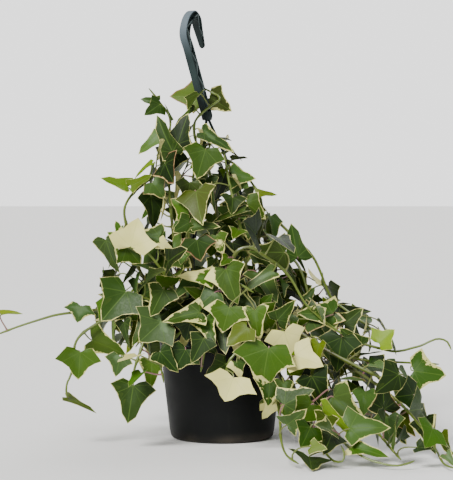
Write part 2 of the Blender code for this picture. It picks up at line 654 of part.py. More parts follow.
def push_off_pot(points, radii):
    """Moves points out of the rim, the wall below it, the soil and the floor."""
    reach = np.linalg.norm(points[:, :2], axis=1)
    outward = points[:, :2] / np.maximum(reach, 1e-6)[:, None]
    rim = np.array((POT_TOP_RADIUS, POT_HEIGHT - 4 * MM))
    section = np.stack([reach, points[:, 2]], axis=1)
    away = section - rim
    distance = np.maximum(np.linalg.norm(away, axis=1), 1e-6)
    need = RIM_CLEAR + radii
    near = (distance < need) & (reach > 50 * MM)
    section[near] = rim + away[near] / distance[near, None] * need[near, None]
    beside = (section[:, 1] < POT_HEIGHT - 6 * MM) & (section[:, 0] > POT_TOP_RADIUS)
    section[beside, 0] = np.maximum(section[beside, 0], RIM_RADIUS + WALL_CLEAR + radii[beside])
    points[:, :2] = outward * section[:, :1]
    points[:, 2] = np.maximum(section[:, 1], radii + FLOOR_CLEAR)
    return points


def hanger_posts():
    """Fixed points with radii along the legs and the hook, for stems to keep off."""
    legs = [smooth_route(leg_route(azimuth), 3 * MM) for azimuth in LEG_AZIMUTHS]
    posts = [(point, LEG_RADIUS) for leg in legs for point in leg]
    beam = math.hypot(BEAM_HALF_WIDTH, BEAM_HALF_DEPTH)
    return posts + [(point, beam) for point in smooth_route(hook_route(), 3 * MM)]


def settle_stems(routes):
    """Lets the stems push each other apart until they clear, keeping their feet in place.

    Each round moves every point away from points of other stems, and of its own stem further
    along, that are nearer than the two radii and the clearance, then smooths the moves."""
    names = list(routes)
    starts = np.cumsum([0] + [len(routes[n]) for n in names])
    points = np.vstack([routes[n] for n in names])
    first = points.copy()
    radii = np.concatenate([stem_radii(routes[n]) for n in names])
    owner = np.repeat(np.arange(len(names)), np.diff(starts))
    posts = hanger_posts()
    fixed = set(starts[:-1])
    count = len(points)
    for turn in range(SETTLE_ROUNDS):
        tree = KDTree(count + len(posts))
        for k, point in enumerate(points):
            tree.insert(point, k)
        for k, (point, _) in enumerate(posts):
            tree.insert(point, count + k)
        tree.balance()
        moves = np.zeros_like(points)
        for k, point in enumerate(points):
            for place, other, distance in tree.find_range(Vector(point), SEARCH_RANGE):
                is_post = other >= count
                if not is_post and owner[other] == owner[k] and abs(other - k) < OWN_STEPS:
                    continue
                radius = posts[other - count][1] if is_post else radii[other]
                short = radii[k] + radius + STEM_CLEAR - distance
                if short > 0 and distance > 0:
                    share = 1 if is_post else PUSH_SHARE
                    moves[k] += (point - np.array(place)) / distance * short * share
        for foot in fixed:
            moves[foot] = 0
        points = push_off_pot(points + moves, radii)
        points[list(fixed)] = first[list(fixed)]
        if turn < SETTLE_ROUNDS - LAST_ROUNDS:
            shift = points - first
            for low, high in zip(starts, starts[1:]):
                part = shift[low:high]
                part[1:-1] = 0.6 * part[1:-1] + 0.2 * (part[:-2] + part[2:])
            points = first + shift
    return {n: points[a:b] for n, a, b in zip(names, starts, starts[1:])}


def stem_frames(route):
    """The stem's direction and two unit vectors across it at each point, for a stem that leaves
    the soil upright. The pair across turns as little as possible along the stem."""
    tangents = unit(np.gradient(route, axis=0))
    tangents[0] = (0, 0, 1)
    side = across(np.array((0.31, 0.87, 0.38)), tangents[0])
    sides = []
    for tangent in tangents:
        side = across(side, tangent)
        sides.append(side)
    sides = np.array(sides)
    return tangents, sides, np.cross(tangents, sides)


class Stem:
    """A settled stem that can be read at any distance along it."""

    def __init__(self, name, route):
        self.name = name
        self.route = route
        self.run = along(route)
        self.length = self.run[-1]
        self.tangents, self.sides, self.depths = stem_frames(route)
        self.slots = []

    def read(self, values, distance):
        """A value given at each point of the route, at a distance along it."""
        return np.array([np.interp(distance, self.run, values[:, k]) for k in range(3)])

    def point(self, distance):
        return self.read(self.route, distance)

    def radius(self, distance):
        return mix(STEM_BASE_RADIUS, STEM_TIP_RADIUS, distance / self.length)

    def ring(self, distance):
        """Four corners round the stem at a distance along it."""
        side, depth = self.read(self.sides, distance), self.read(self.depths, distance)
        angles = np.radians([-45, 45, 135, 225])
        offsets = np.cos(angles)[:, None] * unit(side) + np.sin(angles)[:, None] * unit(depth)
        return self.point(distance) + self.radius(distance) * offsets

    def face_toward(self, distance, direction):
        """Which of the stem's four sides looks most along a direction."""
        side, depth = self.read(self.sides, distance), self.read(self.depths, distance)
        return int(np.argmax([np.dot(v, direction) for v in (side, depth, -side, -depth)]))

    def is_free(self, distance):
        """Whether a leaf slot fits at a distance along the stem."""
        room = 2 * SLOT_HALF
        return room < distance < self.length - room and all(
            abs(distance - other) > SLOT_SPACING for other in self.slots)

    def free_slots(self):
        """Distances every few millimetres that still have room for a slot."""
        return [d for d in np.arange(2 * SLOT_HALF, self.length - 2 * SLOT_HALF, 3 * MM) if self.is_free(d)]


# ---------------------------------------------------------------- leaves


class Leaf:
    """A petiole and a blade: its foot, its frame (right, tip and upper side), size and kind."""

    def __init__(self, kind, foot, tip, normal, length, breadth, rng):
        self.kind = kind
        self.foot = np.asarray(foot, float)
        self.tip = unit(tip)
        self.normal = across(np.asarray(normal, float), self.tip)
        self.right = np.cross(self.tip, self.normal)
        self.length = length
        self.breadth = breadth
        self.lobed = min(1.0, max(0.0, (breadth - 0.85) / 0.5))
        self.fold = rng.uniform(0.05, 0.3)
        self.curl = rng.uniform(0.02, 0.22)

    def place(self, x, y):
        """A point of the blade's surface: folded up from the midrib and curled down to the tip."""
        height = self.fold * abs(x) - self.curl * y * y
        return self.foot + self.length * (x * self.right + y * self.tip + height * self.normal)

    def outline(self, swell):
        """The blade's sharp points, from beside the petiole over the tip to the other side."""
        half = [
            (mix(a[0], l[0], self.lobed) * self.breadth, mix(a[1], l[1], self.lobed))
            for a, l in zip(ARROW_HALF, LOBED_HALF)
        ]
        grow = 1 + swell / self.length
        points = half + [(0, 1)] + [(-x, y) for x, y in half[::-1]]
        return [self.place(x * grow, y * grow) for x, y in points]

    def blade(self, swell=0.0):
        """Vertices and faces of the blade. The first four are its foot: top, right, under, left."""
        half = BLADE_HALF_THICKNESS + swell
        foot = [
            self.foot + self.normal * half,
            self.foot + self.right * (PETIOLE_RADIUS + swell),
            self.foot - self.normal * half,
            self.foot - self.right * (PETIOLE_RADIUS + swell),
        ]
        outline = self.outline(swell)
        middle = self.place(0, BLADE_MIDDLE)
        verts = foot + outline + [middle + self.normal * half, middle - self.normal * half]
        edge = list(range(4, 4 + len(outline)))
        top, under = len(verts) - 2, len(verts) - 1
        upper = [1] + edge + [3, 0, 1]
        lower = [1] + edge + [3, 2, 1]
        faces = [(top, a, b) for a, b in zip(upper, upper[1:])]
        faces += [(under, b, a) for a, b in zip(lower, lower[1:])]
        return verts, faces

    def attach(self, stem, distance):
        """Joins the leaf to a slot of a stem."""
        self.stem, self.distance = stem, distance
        toward = unit(self.foot - stem.point(distance))
        self.face = stem.face_toward(distance, toward)

    def petiole_curve(self, shares):
        """Points on the petiole: out of the stem, over to the blade's foot and on along the blade."""
        slot = self.slot_corners()
        start = slot.mean(axis=0)
        outward = unit(np.cross(slot[1] - slot[0], slot[3] - slot[0]))
        span = np.linalg.norm(self.foot - start)
        controls = [start, start + outward * 0.4 * span, self.foot - self.tip * 0.3 * span, self.foot]
        s = np.asarray(shares)[:, None]
        weights = ((1 - s) ** 3, 3 * s * (1 - s) ** 2, 3 * s**2 * (1 - s), s**3)
        return sum(w * c for w, c in zip(weights, controls))

    def slot_corners(self):
        """The four corners of the stem's side that the petiole grows from."""
        low = self.stem.ring(self.distance - SLOT_HALF)
        high = self.stem.ring(self.distance + SLOT_HALF)
        j, after = self.face, (self.face + 1) % 4
        return np.array([low[j], low[after], high[after], high[j]])

    def knee(self, swell=0.0):
        """The petiole's four corners where it bends, between its slot and the blade's foot."""
        before, middle, after = self.petiole_curve((0.5, 0.58, 0.66))
        slot = self.slot_corners()
        tangent = unit(after - before)
        lengthwise = across(unit(slot[3] - slot[0]), tangent)
        crosswise = np.cross(lengthwise, tangent)
        size = (PETIOLE_RADIUS + swell) * 0.9
        corners = ((-1, -1), (1, -1), (1, 1), (-1, 1))
        return np.array([middle + size * (a * crosswise + b * lengthwise) for a, b in corners])

    def petiole_shape(self, swell):
        """Vertices and faces of the petiole on its own, for clearance tests."""
        rings = [self.slot_corners(), self.knee(swell), self.blade(swell)[0][:4]]
        rings[-1] = np.roll(rings[-1], -least_twist(np.array(rings[-1]), rings[-2]), axis=0)
        return [tuple(v) for ring in rings for v in ring], tube_sides(len(rings))


def least_twist(ring, before):
    """Which corner of the ring comes first, so that the tube to it from the one before twists least."""
    centred, target = ring - ring.mean(axis=0), before - before.mean(axis=0)
    return min(range(4), key=lambda k: float(((np.roll(centred, -k, axis=0) - target) ** 2).sum()))


class Clearance:
    """Everything already in place, for testing whether a new leaf touches it."""

    def __init__(self):
        self.trees, self.centres, self.reaches, self.owners = [], [], [], []

    def add(self, verts, faces, owner=None):
        points = np.array([tuple(v) for v in verts])
        low, high = points.min(axis=0), points.max(axis=0)
        self.trees.append(tree_of(verts, faces))
        self.centres.append((low + high) / 2)
        self.reaches.append(np.linalg.norm(high - low) / 2)
        self.owners.append(owner)

    def touches(self, verts, faces, skip=None):
        """Whether a shape meets any piece in place except those of one owner."""
        points = np.array([tuple(v) for v in verts])
        low, high = points.min(axis=0), points.max(axis=0)
        centre, reach = (low + high) / 2, np.linalg.norm(high - low) / 2
        near = np.linalg.norm(np.array(self.centres) - centre, axis=1) < np.array(self.reaches) + reach
        tree = tree_of(verts, faces)
        return any(
            tree.overlap(self.trees[k]) for k in np.flatnonzero(near)
            if skip is None or self.owners[k] != skip
        )


def tree_of(verts, faces):
    """A search tree of a shape's faces."""
    return BVHTree.FromPolygons([Vector(v) for v in verts], faces)


def stem_shape(stem):
    """A stem's tube on its own, swelled for clearance tests."""
    verts = []
    stations = np.arange(0, stem.length + ROUTE_STEP, ROUTE_STEP).clip(max=stem.length)
    for distance in stations:
        ring = stem.ring(distance)
        centre = ring.mean(axis=0)
        verts += [tuple(centre + (v - centre) * (1 + TEST_SWELL / stem.radius(distance))) for v in ring]
    return verts, tube_sides(len(stations))


def fixed_pieces():
    """The pot, the soil's top and the hanger as simple shapes for clearance tests."""
    beam = math.hypot(BEAM_HALF_WIDTH, BEAM_HALF_DEPTH)
    outer = [(POT_BASE_RADIUS, 0), (POT_TOP_RADIUS, POT_HEIGHT - RIM_SKIRT - 4 * MM),
             (RIM_RADIUS + 3.5 * MM, POT_HEIGHT - RIM_SKIRT - 4 * MM),
             (RIM_RADIUS + 3.5 * MM, POT_HEIGHT + 3 * MM), (POT_TOP_RADIUS - 6 * MM, POT_HEIGHT + 3 * MM),
             (POT_TOP_RADIUS - 6 * MM, SOIL_TOP), (0, SOIL_TOP)]
    shapes = [turned(outer, POT_SIDES), swept(hook_route(), circle_outline(beam, 8), (0, 1, 0))]
    for azimuth in LEG_AZIMUTHS:
        shapes.append(swept(leg_route(azimuth), circle_outline(LEG_RADIUS + TEST_SWELL, 6), (0, 0, 1)))
    return shapes


def core_shape():
    """The open space between the legs, as a box."""
    low, high = np.array(CORE_LOW) * MM, np.array(CORE_HIGH) * MM
    corners = [(low[0], low[1]), (high[0], low[1]), (high[0], high[1]), (low[0], high[1])]
    verts = [(x, y, z) for z in (low[2], high[2]) for x, y in corners]
    return verts, tube_sides(2) + [(3, 2, 1, 0), (4, 5, 6, 7)]


def fits(leaf, clearance):
    """Whether a leaf clears the surface, the open core and every piece in place."""
    blade_verts, blade_faces = leaf.blade(TEST_SWELL)
    petiole_verts, petiole_faces = leaf.petiole_shape(TEST_SWELL)
    points = np.array([tuple(v) for v in blade_verts + petiole_verts])
    if points[:, 2].min() < FLOOR_CLEAR:
        return False
    inside = (points > np.array(CORE_LOW) * MM) & (points < np.array(CORE_HIGH) * MM)
    if inside.all(axis=1).any():
        return False
    if clearance.touches(blade_verts, blade_faces):
        return False
    return not clearance.touches(petiole_verts, petiole_faces, skip=leaf.stem.name)


def in_outline(leaf):
    """Whether a leaf stays inside the plant's outline, for the eye in front of it."""
    eye = np.array(EYE) * MM
    points = np.array([tuple(v) for v in leaf.blade()[0]])
    share = eye[1] / (eye[1] - points[:, 1])
    seen_x = eye[0] + (points[:, 0] - eye[0]) * share
    seen_z = eye[2] + (points[:, 2] - eye[2]) * share
    heights, left, right = np.array(SIDES).T * MM
    if (seen_x < np.interp(seen_z, heights, left)).any() or (seen_z > heights[-1]).any():
        return False
    if (seen_x > np.interp(seen_z, heights, right)).any():
        return False
    if leaf.foot[1] > 0 and abs(leaf.foot[0]) < HEM_BACK_HALF_WIDTH:
        return True
    places, lowest = np.array(HEM).T * MM
    return bool((seen_z > np.interp(seen_x, places, lowest)).all())


def keep(leaf, clearance, leaves):
    """Adds a leaf that fits to its stem and to the pieces in place."""
    leaf.stem.slots.append(leaf.distance)
    leaves[leaf.stem.name].append(leaf)
    clearance.add(*leaf.blade())
    clearance.add(*leaf.petiole_shape(0.0))


def nearest_slots(stems, foot, count):
    """The nearest free slots to a blade's foot, as (stem, distance along it)."""
    found = []
    for stem in stems:
        free = stem.free_slots()
        if not free:
            continue
        points = np.array([stem.point(d) for d in free])
        spans = np.linalg.norm(points - foot, axis=1)
        for k in np.argsort(spans)[:8:3]:
            if 5 * MM < spans[k] < PETIOLE_LONGEST:
                found.append((spans[k], stem, free[k]))
    found.sort(key=lambda item: item[0])
    return [(stem, distance) for _, stem, distance in found[:count]]


def outline_leaf(row, rng, depth, roll):
    """A leaf of the hand-set list, moved in depth and rolled about its midrib."""
    kind, facing, foot, aim, lean, length, breadth = row
    aim, lean = math.radians(aim), math.radians(lean)
    tip = (math.sin(aim) * math.cos(lean), -math.sin(lean), math.cos(aim) * math.cos(lean))
    place = np.array(foot) * MM + np.array((0, depth * MM, 0))
    leaf = Leaf(kind, place, tip, FACING[facing], length * MM, breadth, rng)
    turn = math.radians(roll)
    leaf.normal = leaf.normal * math.cos(turn) + leaf.right * math.sin(turn)
    leaf.right = np.cross(leaf.tip, leaf.normal)
    return leaf


def set_outline_leaves(stems, clearance, leaves):
    """Sets the hand-placed leaves, each at the first small change of depth and roll that clears."""
    depths = [0, -5, 5, -10, 10, -16, 16, -22, 22, -28]
    for k, row in enumerate(OUTLINE_LEAVES):
        for depth in depths:
            done = False
            for roll in (0, 18, -18, 35, -35):
                leaf = outline_leaf(row, random.Random(k), depth, roll)
                for stem, distance in nearest_slots(stems, leaf.foot, 5):
                    leaf.attach(stem, distance)
                    if fits(leaf, clearance):
                        keep(leaf, clearance, leaves)
                        done = True
                        break
                if done:
                    break
            if done:
                break


def rule_leaf(stem, distance, side, rng):
    """A leaf that follows the rule: out from the plant, to one side of the stem, tip hanging."""
    base = stem.point(distance)
    outward = np.array((base[0], base[1], 0.0))
    outward = unit(outward + np.array((1e-4, -1e-4, 0)))
    sideways = unit(np.cross(stem.read(stem.tangents, distance), outward))
    jitter = np.array([rng.uniform(-0.5, 0.5) for _ in range(3)])
    way = unit(outward * rng.uniform(0.5, 1.0) + side * sideways * rng.uniform(0.2, 0.9)
               + np.array((0, 0, rng.uniform(-0.1, 0.6))) + jitter)
    age = min(1.0, (1 - distance / stem.length) * 5 + 0.45)
    foot = base + way * rng.uniform(11, 30) * MM
    tip = unit(way * 0.6 + np.array((0, 0, -rng.uniform(0.1, 1.1))) + jitter * 0.6)
    normal = outward * rng.uniform(0.5, 1.0) + np.array((0, 0, rng.uniform(0.2, 1.0))) - jitter * 0.5
    kind = rng.choices(list(KIND_SHARES), list(KIND_SHARES.values()))[0]
    length = rng.uniform(22, 38) * MM * age
    leaf = Leaf(kind, foot, tip, normal, length, rng.uniform(0.75, 1.35), rng)
    leaf.attach(stem, distance)
    return leaf


def set_rule_leaves(stems, clearance, leaves):
    """Fills the nodes that are still bare, tip first and then down each stem in turn.

    A second round adds side shoots' leaves halfway between the nodes."""
    nodes = []
    for shift in (0, NODE_SPACING / 2):
        rank = []
        for stem in stems:
            steps = np.arange(stem.length - 5 * MM - shift, 22 * MM, -NODE_SPACING)
            low, high = BARE.get(stem.name, (0, 0))
            rank += [(k, stem, distance) for k, distance in enumerate(steps)
                     if not low * MM < distance < high * MM]
        nodes += sorted(rank, key=lambda item: item[0])
    for k, stem, distance in nodes:
        if sum(map(len, leaves.values())) >= MOST_LEAVES:
            return
        for attempt in range(FILL_TRIES):
            rng = random.Random(f"{stem.name} {round(distance / MM)} {attempt}")
            place = distance - rng.uniform(0, 6) * MM
            if not stem.is_free(place):
                continue
            leaf = rule_leaf(stem, place, 1 if (k + attempt) % 2 else -1, rng)
            if in_outline(leaf) and fits(leaf, clearance):
                keep(leaf, clearance, leaves)
                break


def grow_plant():
    """The settled stems, and the leaves on each, in the order that they were set."""
    routes = {name: smooth_route(np.array(points) * MM, ROUTE_STEP, True) for name, points in VINES.items()}
    stems = [Stem(name, route) for name, route in settle_stems(routes).items()]
    clearance = Clearance()
    for shape in [*fixed_pieces(), core_shape()]:
        clearance.add(*shape)
    for stem in stems:
        clearance.add(*stem_shape(stem), owner=stem.name)
    leaves = {stem.name: [] for stem in stems}
    set_outline_leaves(stems, clearance, leaves)
    set_rule_leaves(stems, clearance, leaves)
    return stems, leaves


def stem_stations(stem):
    """Distances of the stem's rings: a pair at each slot, and fillers between them."""
    edges = sorted([0.0, stem.length] + [s + e for s in stem.slots for e in (-SLOT_HALF, SLOT_HALF)])
    stations = []
    for a, b in zip(edges, edges[1:]):
        parts = max(1, math.ceil((b - a) / RING_SPACING))
        stations += [mix(a, b, k / parts) for k in range(parts)]
    return stations + [stem.length]


def vine_shape(stem, leaves):
    """Vertices and faces of one vine: its stem with both ends closed, and each petiole and blade."""
    stations = stem_stations(stem)
    verts = [tuple(v) for d in stations for v in stem.ring(d)]
    openings = {}
    for leaf in leaves:
        row = min(range(len(stations)), key=lambda k: abs(stations[k] - (leaf.distance - SLOT_HALF)))
        openings[row, leaf.face] = leaf
    faces = [(3, 2, 1, 0)]
    for row in range(len(stations) - 1):
        for k in range(4):
            after = (k + 1) % 4
            corners = (4 * row + k, 4 * row + after, 4 * row + 4 + after, 4 * row + 4 + k)
            if (row, k) not in openings:
                faces.append(corners)
                continue
            grow_leaf(openings[row, k], corners, verts, faces)
    last = 4 * (len(stations) - 1)
    faces.append((last, last + 1, last + 2, last + 3))
    return verts, faces


def grow_leaf(leaf, corners, verts, faces):
    """Adds a petiole that starts from four corners of the stem, and its blade."""
    knee = leaf.knee()
    blade_verts, blade_faces = leaf.blade()
    turn = least_twist(np.array(blade_verts[:4]), knee)
    first, start = len(verts), len(verts) + 4
    verts += [tuple(v) for v in [*knee, *blade_verts]]
    faces += [tuple(start + k for k in face) for face in blade_faces]
    middle = [first + k for k in range(4)]
    foot = [start + (turn + k) % 4 for k in range(4)]
    for low, high in ((corners, middle), (middle, foot)):
        faces += [(low[k], low[(k + 1) % 4], high[(k + 1) % 4], high[k]) for k in range(4)]


def build_vines():
    """Every vine as its own object."""
    greens = random.Random(7)
    stems, leaves = grow_plant()
    for stem in stems:
        colour = (0.10 + 0.08 * greens.random(), 0.22 + 0.1 * greens.random(), 0.05)
        material = plastic(f"leaf_green_{stem.name}", colour, 0.35)
        add_object(f"vine_{stem.name}", *vine_shape(stem, leaves[stem.name]), material)


def main():
    clear_scene()
    build_pot()
    build_soil()
    build_hanger()
    build_vines()


main()
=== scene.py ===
import math
import random

import bpy
import numpy as np
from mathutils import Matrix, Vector


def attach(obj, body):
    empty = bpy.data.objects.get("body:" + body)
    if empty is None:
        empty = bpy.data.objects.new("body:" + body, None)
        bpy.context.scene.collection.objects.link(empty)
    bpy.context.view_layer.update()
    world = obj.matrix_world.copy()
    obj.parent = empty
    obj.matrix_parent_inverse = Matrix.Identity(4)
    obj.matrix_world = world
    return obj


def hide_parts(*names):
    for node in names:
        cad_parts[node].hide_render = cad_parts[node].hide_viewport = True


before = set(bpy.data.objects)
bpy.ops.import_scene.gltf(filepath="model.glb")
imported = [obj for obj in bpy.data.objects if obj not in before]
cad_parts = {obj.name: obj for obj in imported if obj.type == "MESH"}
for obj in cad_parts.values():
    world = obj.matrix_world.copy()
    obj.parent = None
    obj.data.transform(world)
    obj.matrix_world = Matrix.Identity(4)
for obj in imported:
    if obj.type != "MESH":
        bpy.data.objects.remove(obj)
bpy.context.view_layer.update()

MM = 0.001

# The made pieces, as the CAD has them
POT_HEIGHT = 108 * MM
POT_BASE_RADIUS = 51.5 * MM
POT_TOP_RADIUS = 64 * MM
POT_WALL = 1.5 * MM
RIM_RADIUS = 67.5 * MM
RIM_SKIRT = 10 * MM
DRAIN_HOLES = 6
DRAIN_RADIUS = 4 * MM
DRAIN_CIRCLE = 37 * MM
SOIL_TOP = 94 * MM
HUB = np.array((-15, 0, 321)) * MM
HUB_RADIUS = 5.5 * MM
LEG_AZIMUTHS = (0, 120, 240)
LEG_RADIUS = 1.4 * MM
LEG_BOW = 5 * MM
CLIP_WIDTH = 8 * MM
HOOK_YAW = math.radians(57)
SHAFT_TOP = np.array((-37, 0, 402)) * MM
HOOK_ARCH = ((0, 0), (2.5, 11), (7.5, 18), (13.5, 21), (19, 17.5), (24, 7), (28, -2), (32, -11))
HOOK_TAPER = 0.55
HOOK_TAPER_LENGTH = 30 * MM
BEAM_HALF_WIDTH = 4.2 * MM
BEAM_HALF_DEPTH = 4 * MM
RIB_HALF_WIDTH = 3.9 * MM
RIB_HALF_THICKNESS = 0.6 * MM
# Steps of the hook's path: from the hub to the first rib, and from a rib's middle to its ends
FIRST_RIB = 8
RIB_REACH = 4

# Where the plant is seen from, and the point that is looked at
VIEW_FROM = (4.5 * MM, -1600 * MM, 240 * MM)
VIEW_AT = (4.5 * MM, 0, 197 * MM)

# How finely the round pieces are divided
POT_SIDES = 96
HUB_SIDES = 28
LEG_SIDES = 10
STEM_SIDES = 8
STALK_SIDES = 5
# A direction that no stem, petiole or leg sets out along, from which the rings of a tube start
RING_START = (0.31, 0.87, 0.38)

# How the CAD's vines are made: the sides of a blade's outline, the number of digits to which
# corners agree, and the circle and level at which the stems stand in the mix
CAD_BLADE_SIDES = 10
CAD_DIGITS = 6
ROOT_CIRCLE = 55 * MM
ROOT_LEVEL_PLAY = 2e-6

# Stems, petioles and blades
STEM_STEP = 4 * MM
STEM_IN_MIX = 4 * MM
NODE_SWELL = 0.4
NODE_SWELL_REACH = 2.6 * MM
STALK_IN_STEM = 0.5 * MM
STALK_IN_BLADE = 0.6 * MM
STALK_ROWS = 7
BLADE_HALF_THICKNESS = 0.3 * MM
# The shares of petioles and of blade margins with a rosy tint
ROSY_STALKS = 0.3
ROSY_BLADES = 0.08

# Young leaves: how far apart, how long, and the cone in the plant's middle that they fill
YOUNG_SPACING = 11 * MM
YOUNG_LENGTH = (12 * MM, 20 * MM)
YOUNG_CONE_WIDTH = 78 * MM
YOUNG_CONE_SLOPE = 0.30
YOUNG_LOWEST = POT_HEIGHT + 12 * MM
YOUNG_HIGHEST = HUB[2] - 8 * MM
YOUNG_CLEARANCE = 4 * MM

# Where the blades with a look of their own have their feet, as (x, z) in mm, and how near a foot
# has to be
LEAF_PLACE_PLAY = 0.4
LEAF_PLACES = {
    "cream": ((-59, 294), (-21, 306), (-57, 238), (-88, 192), (-60, 196), (59, 113), (88, 98),
              (11, 71), (49, 41), (137, 110), (190, 30)),
    "half": ((24, 234), (-99, 204), (-5, 203), (4, 172), (-21, 131), (7, 136), (31, 134),
             (-67, 82), (14, 85), (44, 47), (106, 128), (181, 76), (116, 17)),
    "grey": ((-51, 317), (-63, 299), (-18, 303), (10, 261), (18, 257), (-68, 254), (24, 218),
             (-26, 212), (48, 169), (-57, 122), (-7, 149), (-97, 87), (-138, 133), (84, 139),
             (103, 56), (152, 38), (135, 58), (199, 12)),
    # dark: leaves in the plant's shaded inside, darkened as painted shade
    "dark": ((-43, 292), (-49, 284), (-70, 241), (-16, 257), (10, 196), (-30, 121), (-17, 107),
             (-34, 96), (-58, 94), (4, 82), (114, 107), (84, 73), (150, 44), (186, 34)),
    "olive": ((-31, 254), (60, 187), (-149, 46), (165, 36), (199, 26)),
    "lime": ((-24, 341), (-93, 250), (-89, 251), (-69, 273), (35, 243), (24, 117), (-216, 125),
             (151, 100), (91, 102), (92, 49)),
    "pink": ((-12, 340),),
    "green": ((-64, 333), (-61, 331), (-28, 326), (-48, 284), (-16, 286), (-69, 231), (-32, 227),
              (-8, 251), (31, 241), (22, 227), (-31, 216), (-92, 191), (-113, 198), (-24, 199),
              (74, 181), (-92, 149), (-55, 152), (44, 99), (-126, 101), (-136, 91), (-84, 61),
              (118, 118), (132, 100), (194, 74), (78, 8)),
}

# For each kind of blade: flesh colour, margin width as a share of the blade's length, grey cover,
# cream cover, and how common it is among the blades without a place of their own
LEAF_KINDS = {
    "green": ((0.026, 0.069, 0.0003), 0.024, 0.10, 0.00, 42),
    "grey": ((0.035, 0.083, 0.0090), 0.030, 0.80, 0.04, 17),
    "half": ((0.027, 0.069, 0.0005), 0.060, 0.30, 0.42, 10),
    "cream": ((0.039, 0.090, 0.0030), 0.100, 0.10, 0.97, 4),
    # dark: a darkened green that stands in for shade, painted shade; also drawn at random for blades
    # without a place of their own
    "dark": ((0.007, 0.021, 0.0003), 0.014, 0.05, 0.00, 20),
    "olive": ((0.043, 0.074, 0.0003), 0.020, 0.00, 0.00, 6),
    "lime": ((0.095, 0.160, 0.0005), 0.018, 0.00, 0.00, 3),
    "pink": ((0.060, 0.080, 0.0040), 0.060, 0.10, 0.20, 0),
}


def unit(vector):
    """The vector, or each row of an array of vectors, at length one."""
    vector = np.asarray(vector, float)
    return vector / np.maximum(np.linalg.norm(vector, axis=-1, keepdims=True), 1e-12)


def along(points):
    """The distance run at each point of a path."""
    return np.concatenate([[0], np.cumsum(np.linalg.norm(np.diff(points, axis=0), axis=1))])


# ---------------------------------------------------------------- meshes


def ring_faces(rows, around):
    """Quads between rows of points that each close on themselves."""
    row, k = np.meshgrid(np.arange(rows - 1), np.arange(around), indexing="ij")
    low, after = row * around + k, row * around + (k + 1) % around
    return np.stack([low, after, after + around, low + around], axis=-1).reshape(-1, 4)


def fan_faces(centre, ring):
    """Triangles from a centre to each side of a closed ring."""
    ring = np.asarray(ring)
    return np.stack([np.full(len(ring), centre), ring, np.roll(ring, -1)], axis=-1)


def add_piece(name, points, faces, material, values=None, sharp=40):
    """A mesh object from an array of points and lists of faces, shaded smooth up to an angle.

    The values are vector attributes, one row for each point."""
    mesh = bpy.data.meshes.new(name)
    corners = [face for block in faces for face in np.asarray(block).tolist()]
    mesh.from_pydata(np.asarray(points).tolist(), [], corners)
    for key, rows in (values or {}).items():
        attribute = mesh.attributes.new(key, "FLOAT_VECTOR", "POINT")
        attribute.data.foreach_set("vector", np.ravel(rows).astype(np.float32))
    mesh.shade_smooth()
    mesh.set_sharp_from_angle(angle=math.radians(sharp))
    mesh.materials.append(material)
    thing = bpy.data.objects.new(name, mesh)
    bpy.context.scene.collection.objects.link(thing)
    return thing


def belongs(piece, slot, *nodes):
    """Puts a piece on the plant's one body, in place of CAD nodes."""
    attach(piece, "root")
    if nodes:
        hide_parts(*nodes)


def smooth_path(points, step):
    """Points at an even step on the cubic through the given points, with each point's direction
    taken from its two neighbours by distance run."""
    points = np.asarray(points, float)
    run = along(points)
    even = np.linspace(0, run[-1], max(3, round(run[-1] / step) + 1))
    slopes = np.gradient(points, run, axis=0)
    k = np.clip(np.searchsorted(run, even, side="right") - 1, 0, len(run) - 2)
    span = (run[k + 1] - run[k])[:, None]
    s = (even - run[k])[:, None] / span
    return ((2 * s**3 - 3 * s**2 + 1) * points[k] + (s**3 - 2 * s**2 + s) * span * slopes[k]
            + (3 * s**2 - 2 * s**3) * points[k + 1] + (s**3 - s**2) * span * slopes[k + 1])


def tubes(paths, radii, around):
    """Closed round tubes along several paths of equally many points.

    The point at (i, t) is path(i) + r(i) (cos t * side(i) + sin t * depth(i)), with the side
    vector projected across the path from one point to the next, and a pole at each end. Returns
    the points, the quads, the caps' triangles, and the number of points in each tube."""
    paths, radii = np.asarray(paths, float), np.asarray(radii, float)
    count, rows = paths.shape[:2]
    tangents = unit(np.gradient(paths, axis=1))
    side = np.tile(RING_START, (count, 1))
    sides = np.empty_like(paths)
    for row in range(rows):
        tangent = tangents[:, row]
        side = unit(side - (side * tangent).sum(axis=1, keepdims=True) * tangent)
        sides[:, row] = side
    depths = np.cross(tangents, sides)
    angle = np.linspace(0, 2 * math.pi, around, endpoint=False)[:, None]
    rings = paths[:, :, None] + radii[:, :, None, None] * (
        np.cos(angle) * sides[:, :, None] + np.sin(angle) * depths[:, :, None])
    poles = np.stack([paths[:, 0], paths[:, -1]], axis=1)
    points = np.concatenate([rings.reshape(count, -1, 3), poles], axis=1)
    each = rows * around + 2
    ring = np.arange(around)
    quads = ring_faces(rows, around)
    last_ring = ring + (rows - 1) * around
    caps = np.vstack([fan_faces(each - 2, ring[::-1]), fan_faces(each - 1, last_ring)])
    shift = (np.arange(count) * each)[:, None, None]
    quads, caps = (quads + shift).reshape(-1, 4), (caps + shift).reshape(-1, 3)
    return points.reshape(-1, 3), quads, caps, each


# ---------------------------------------------------------------- materials


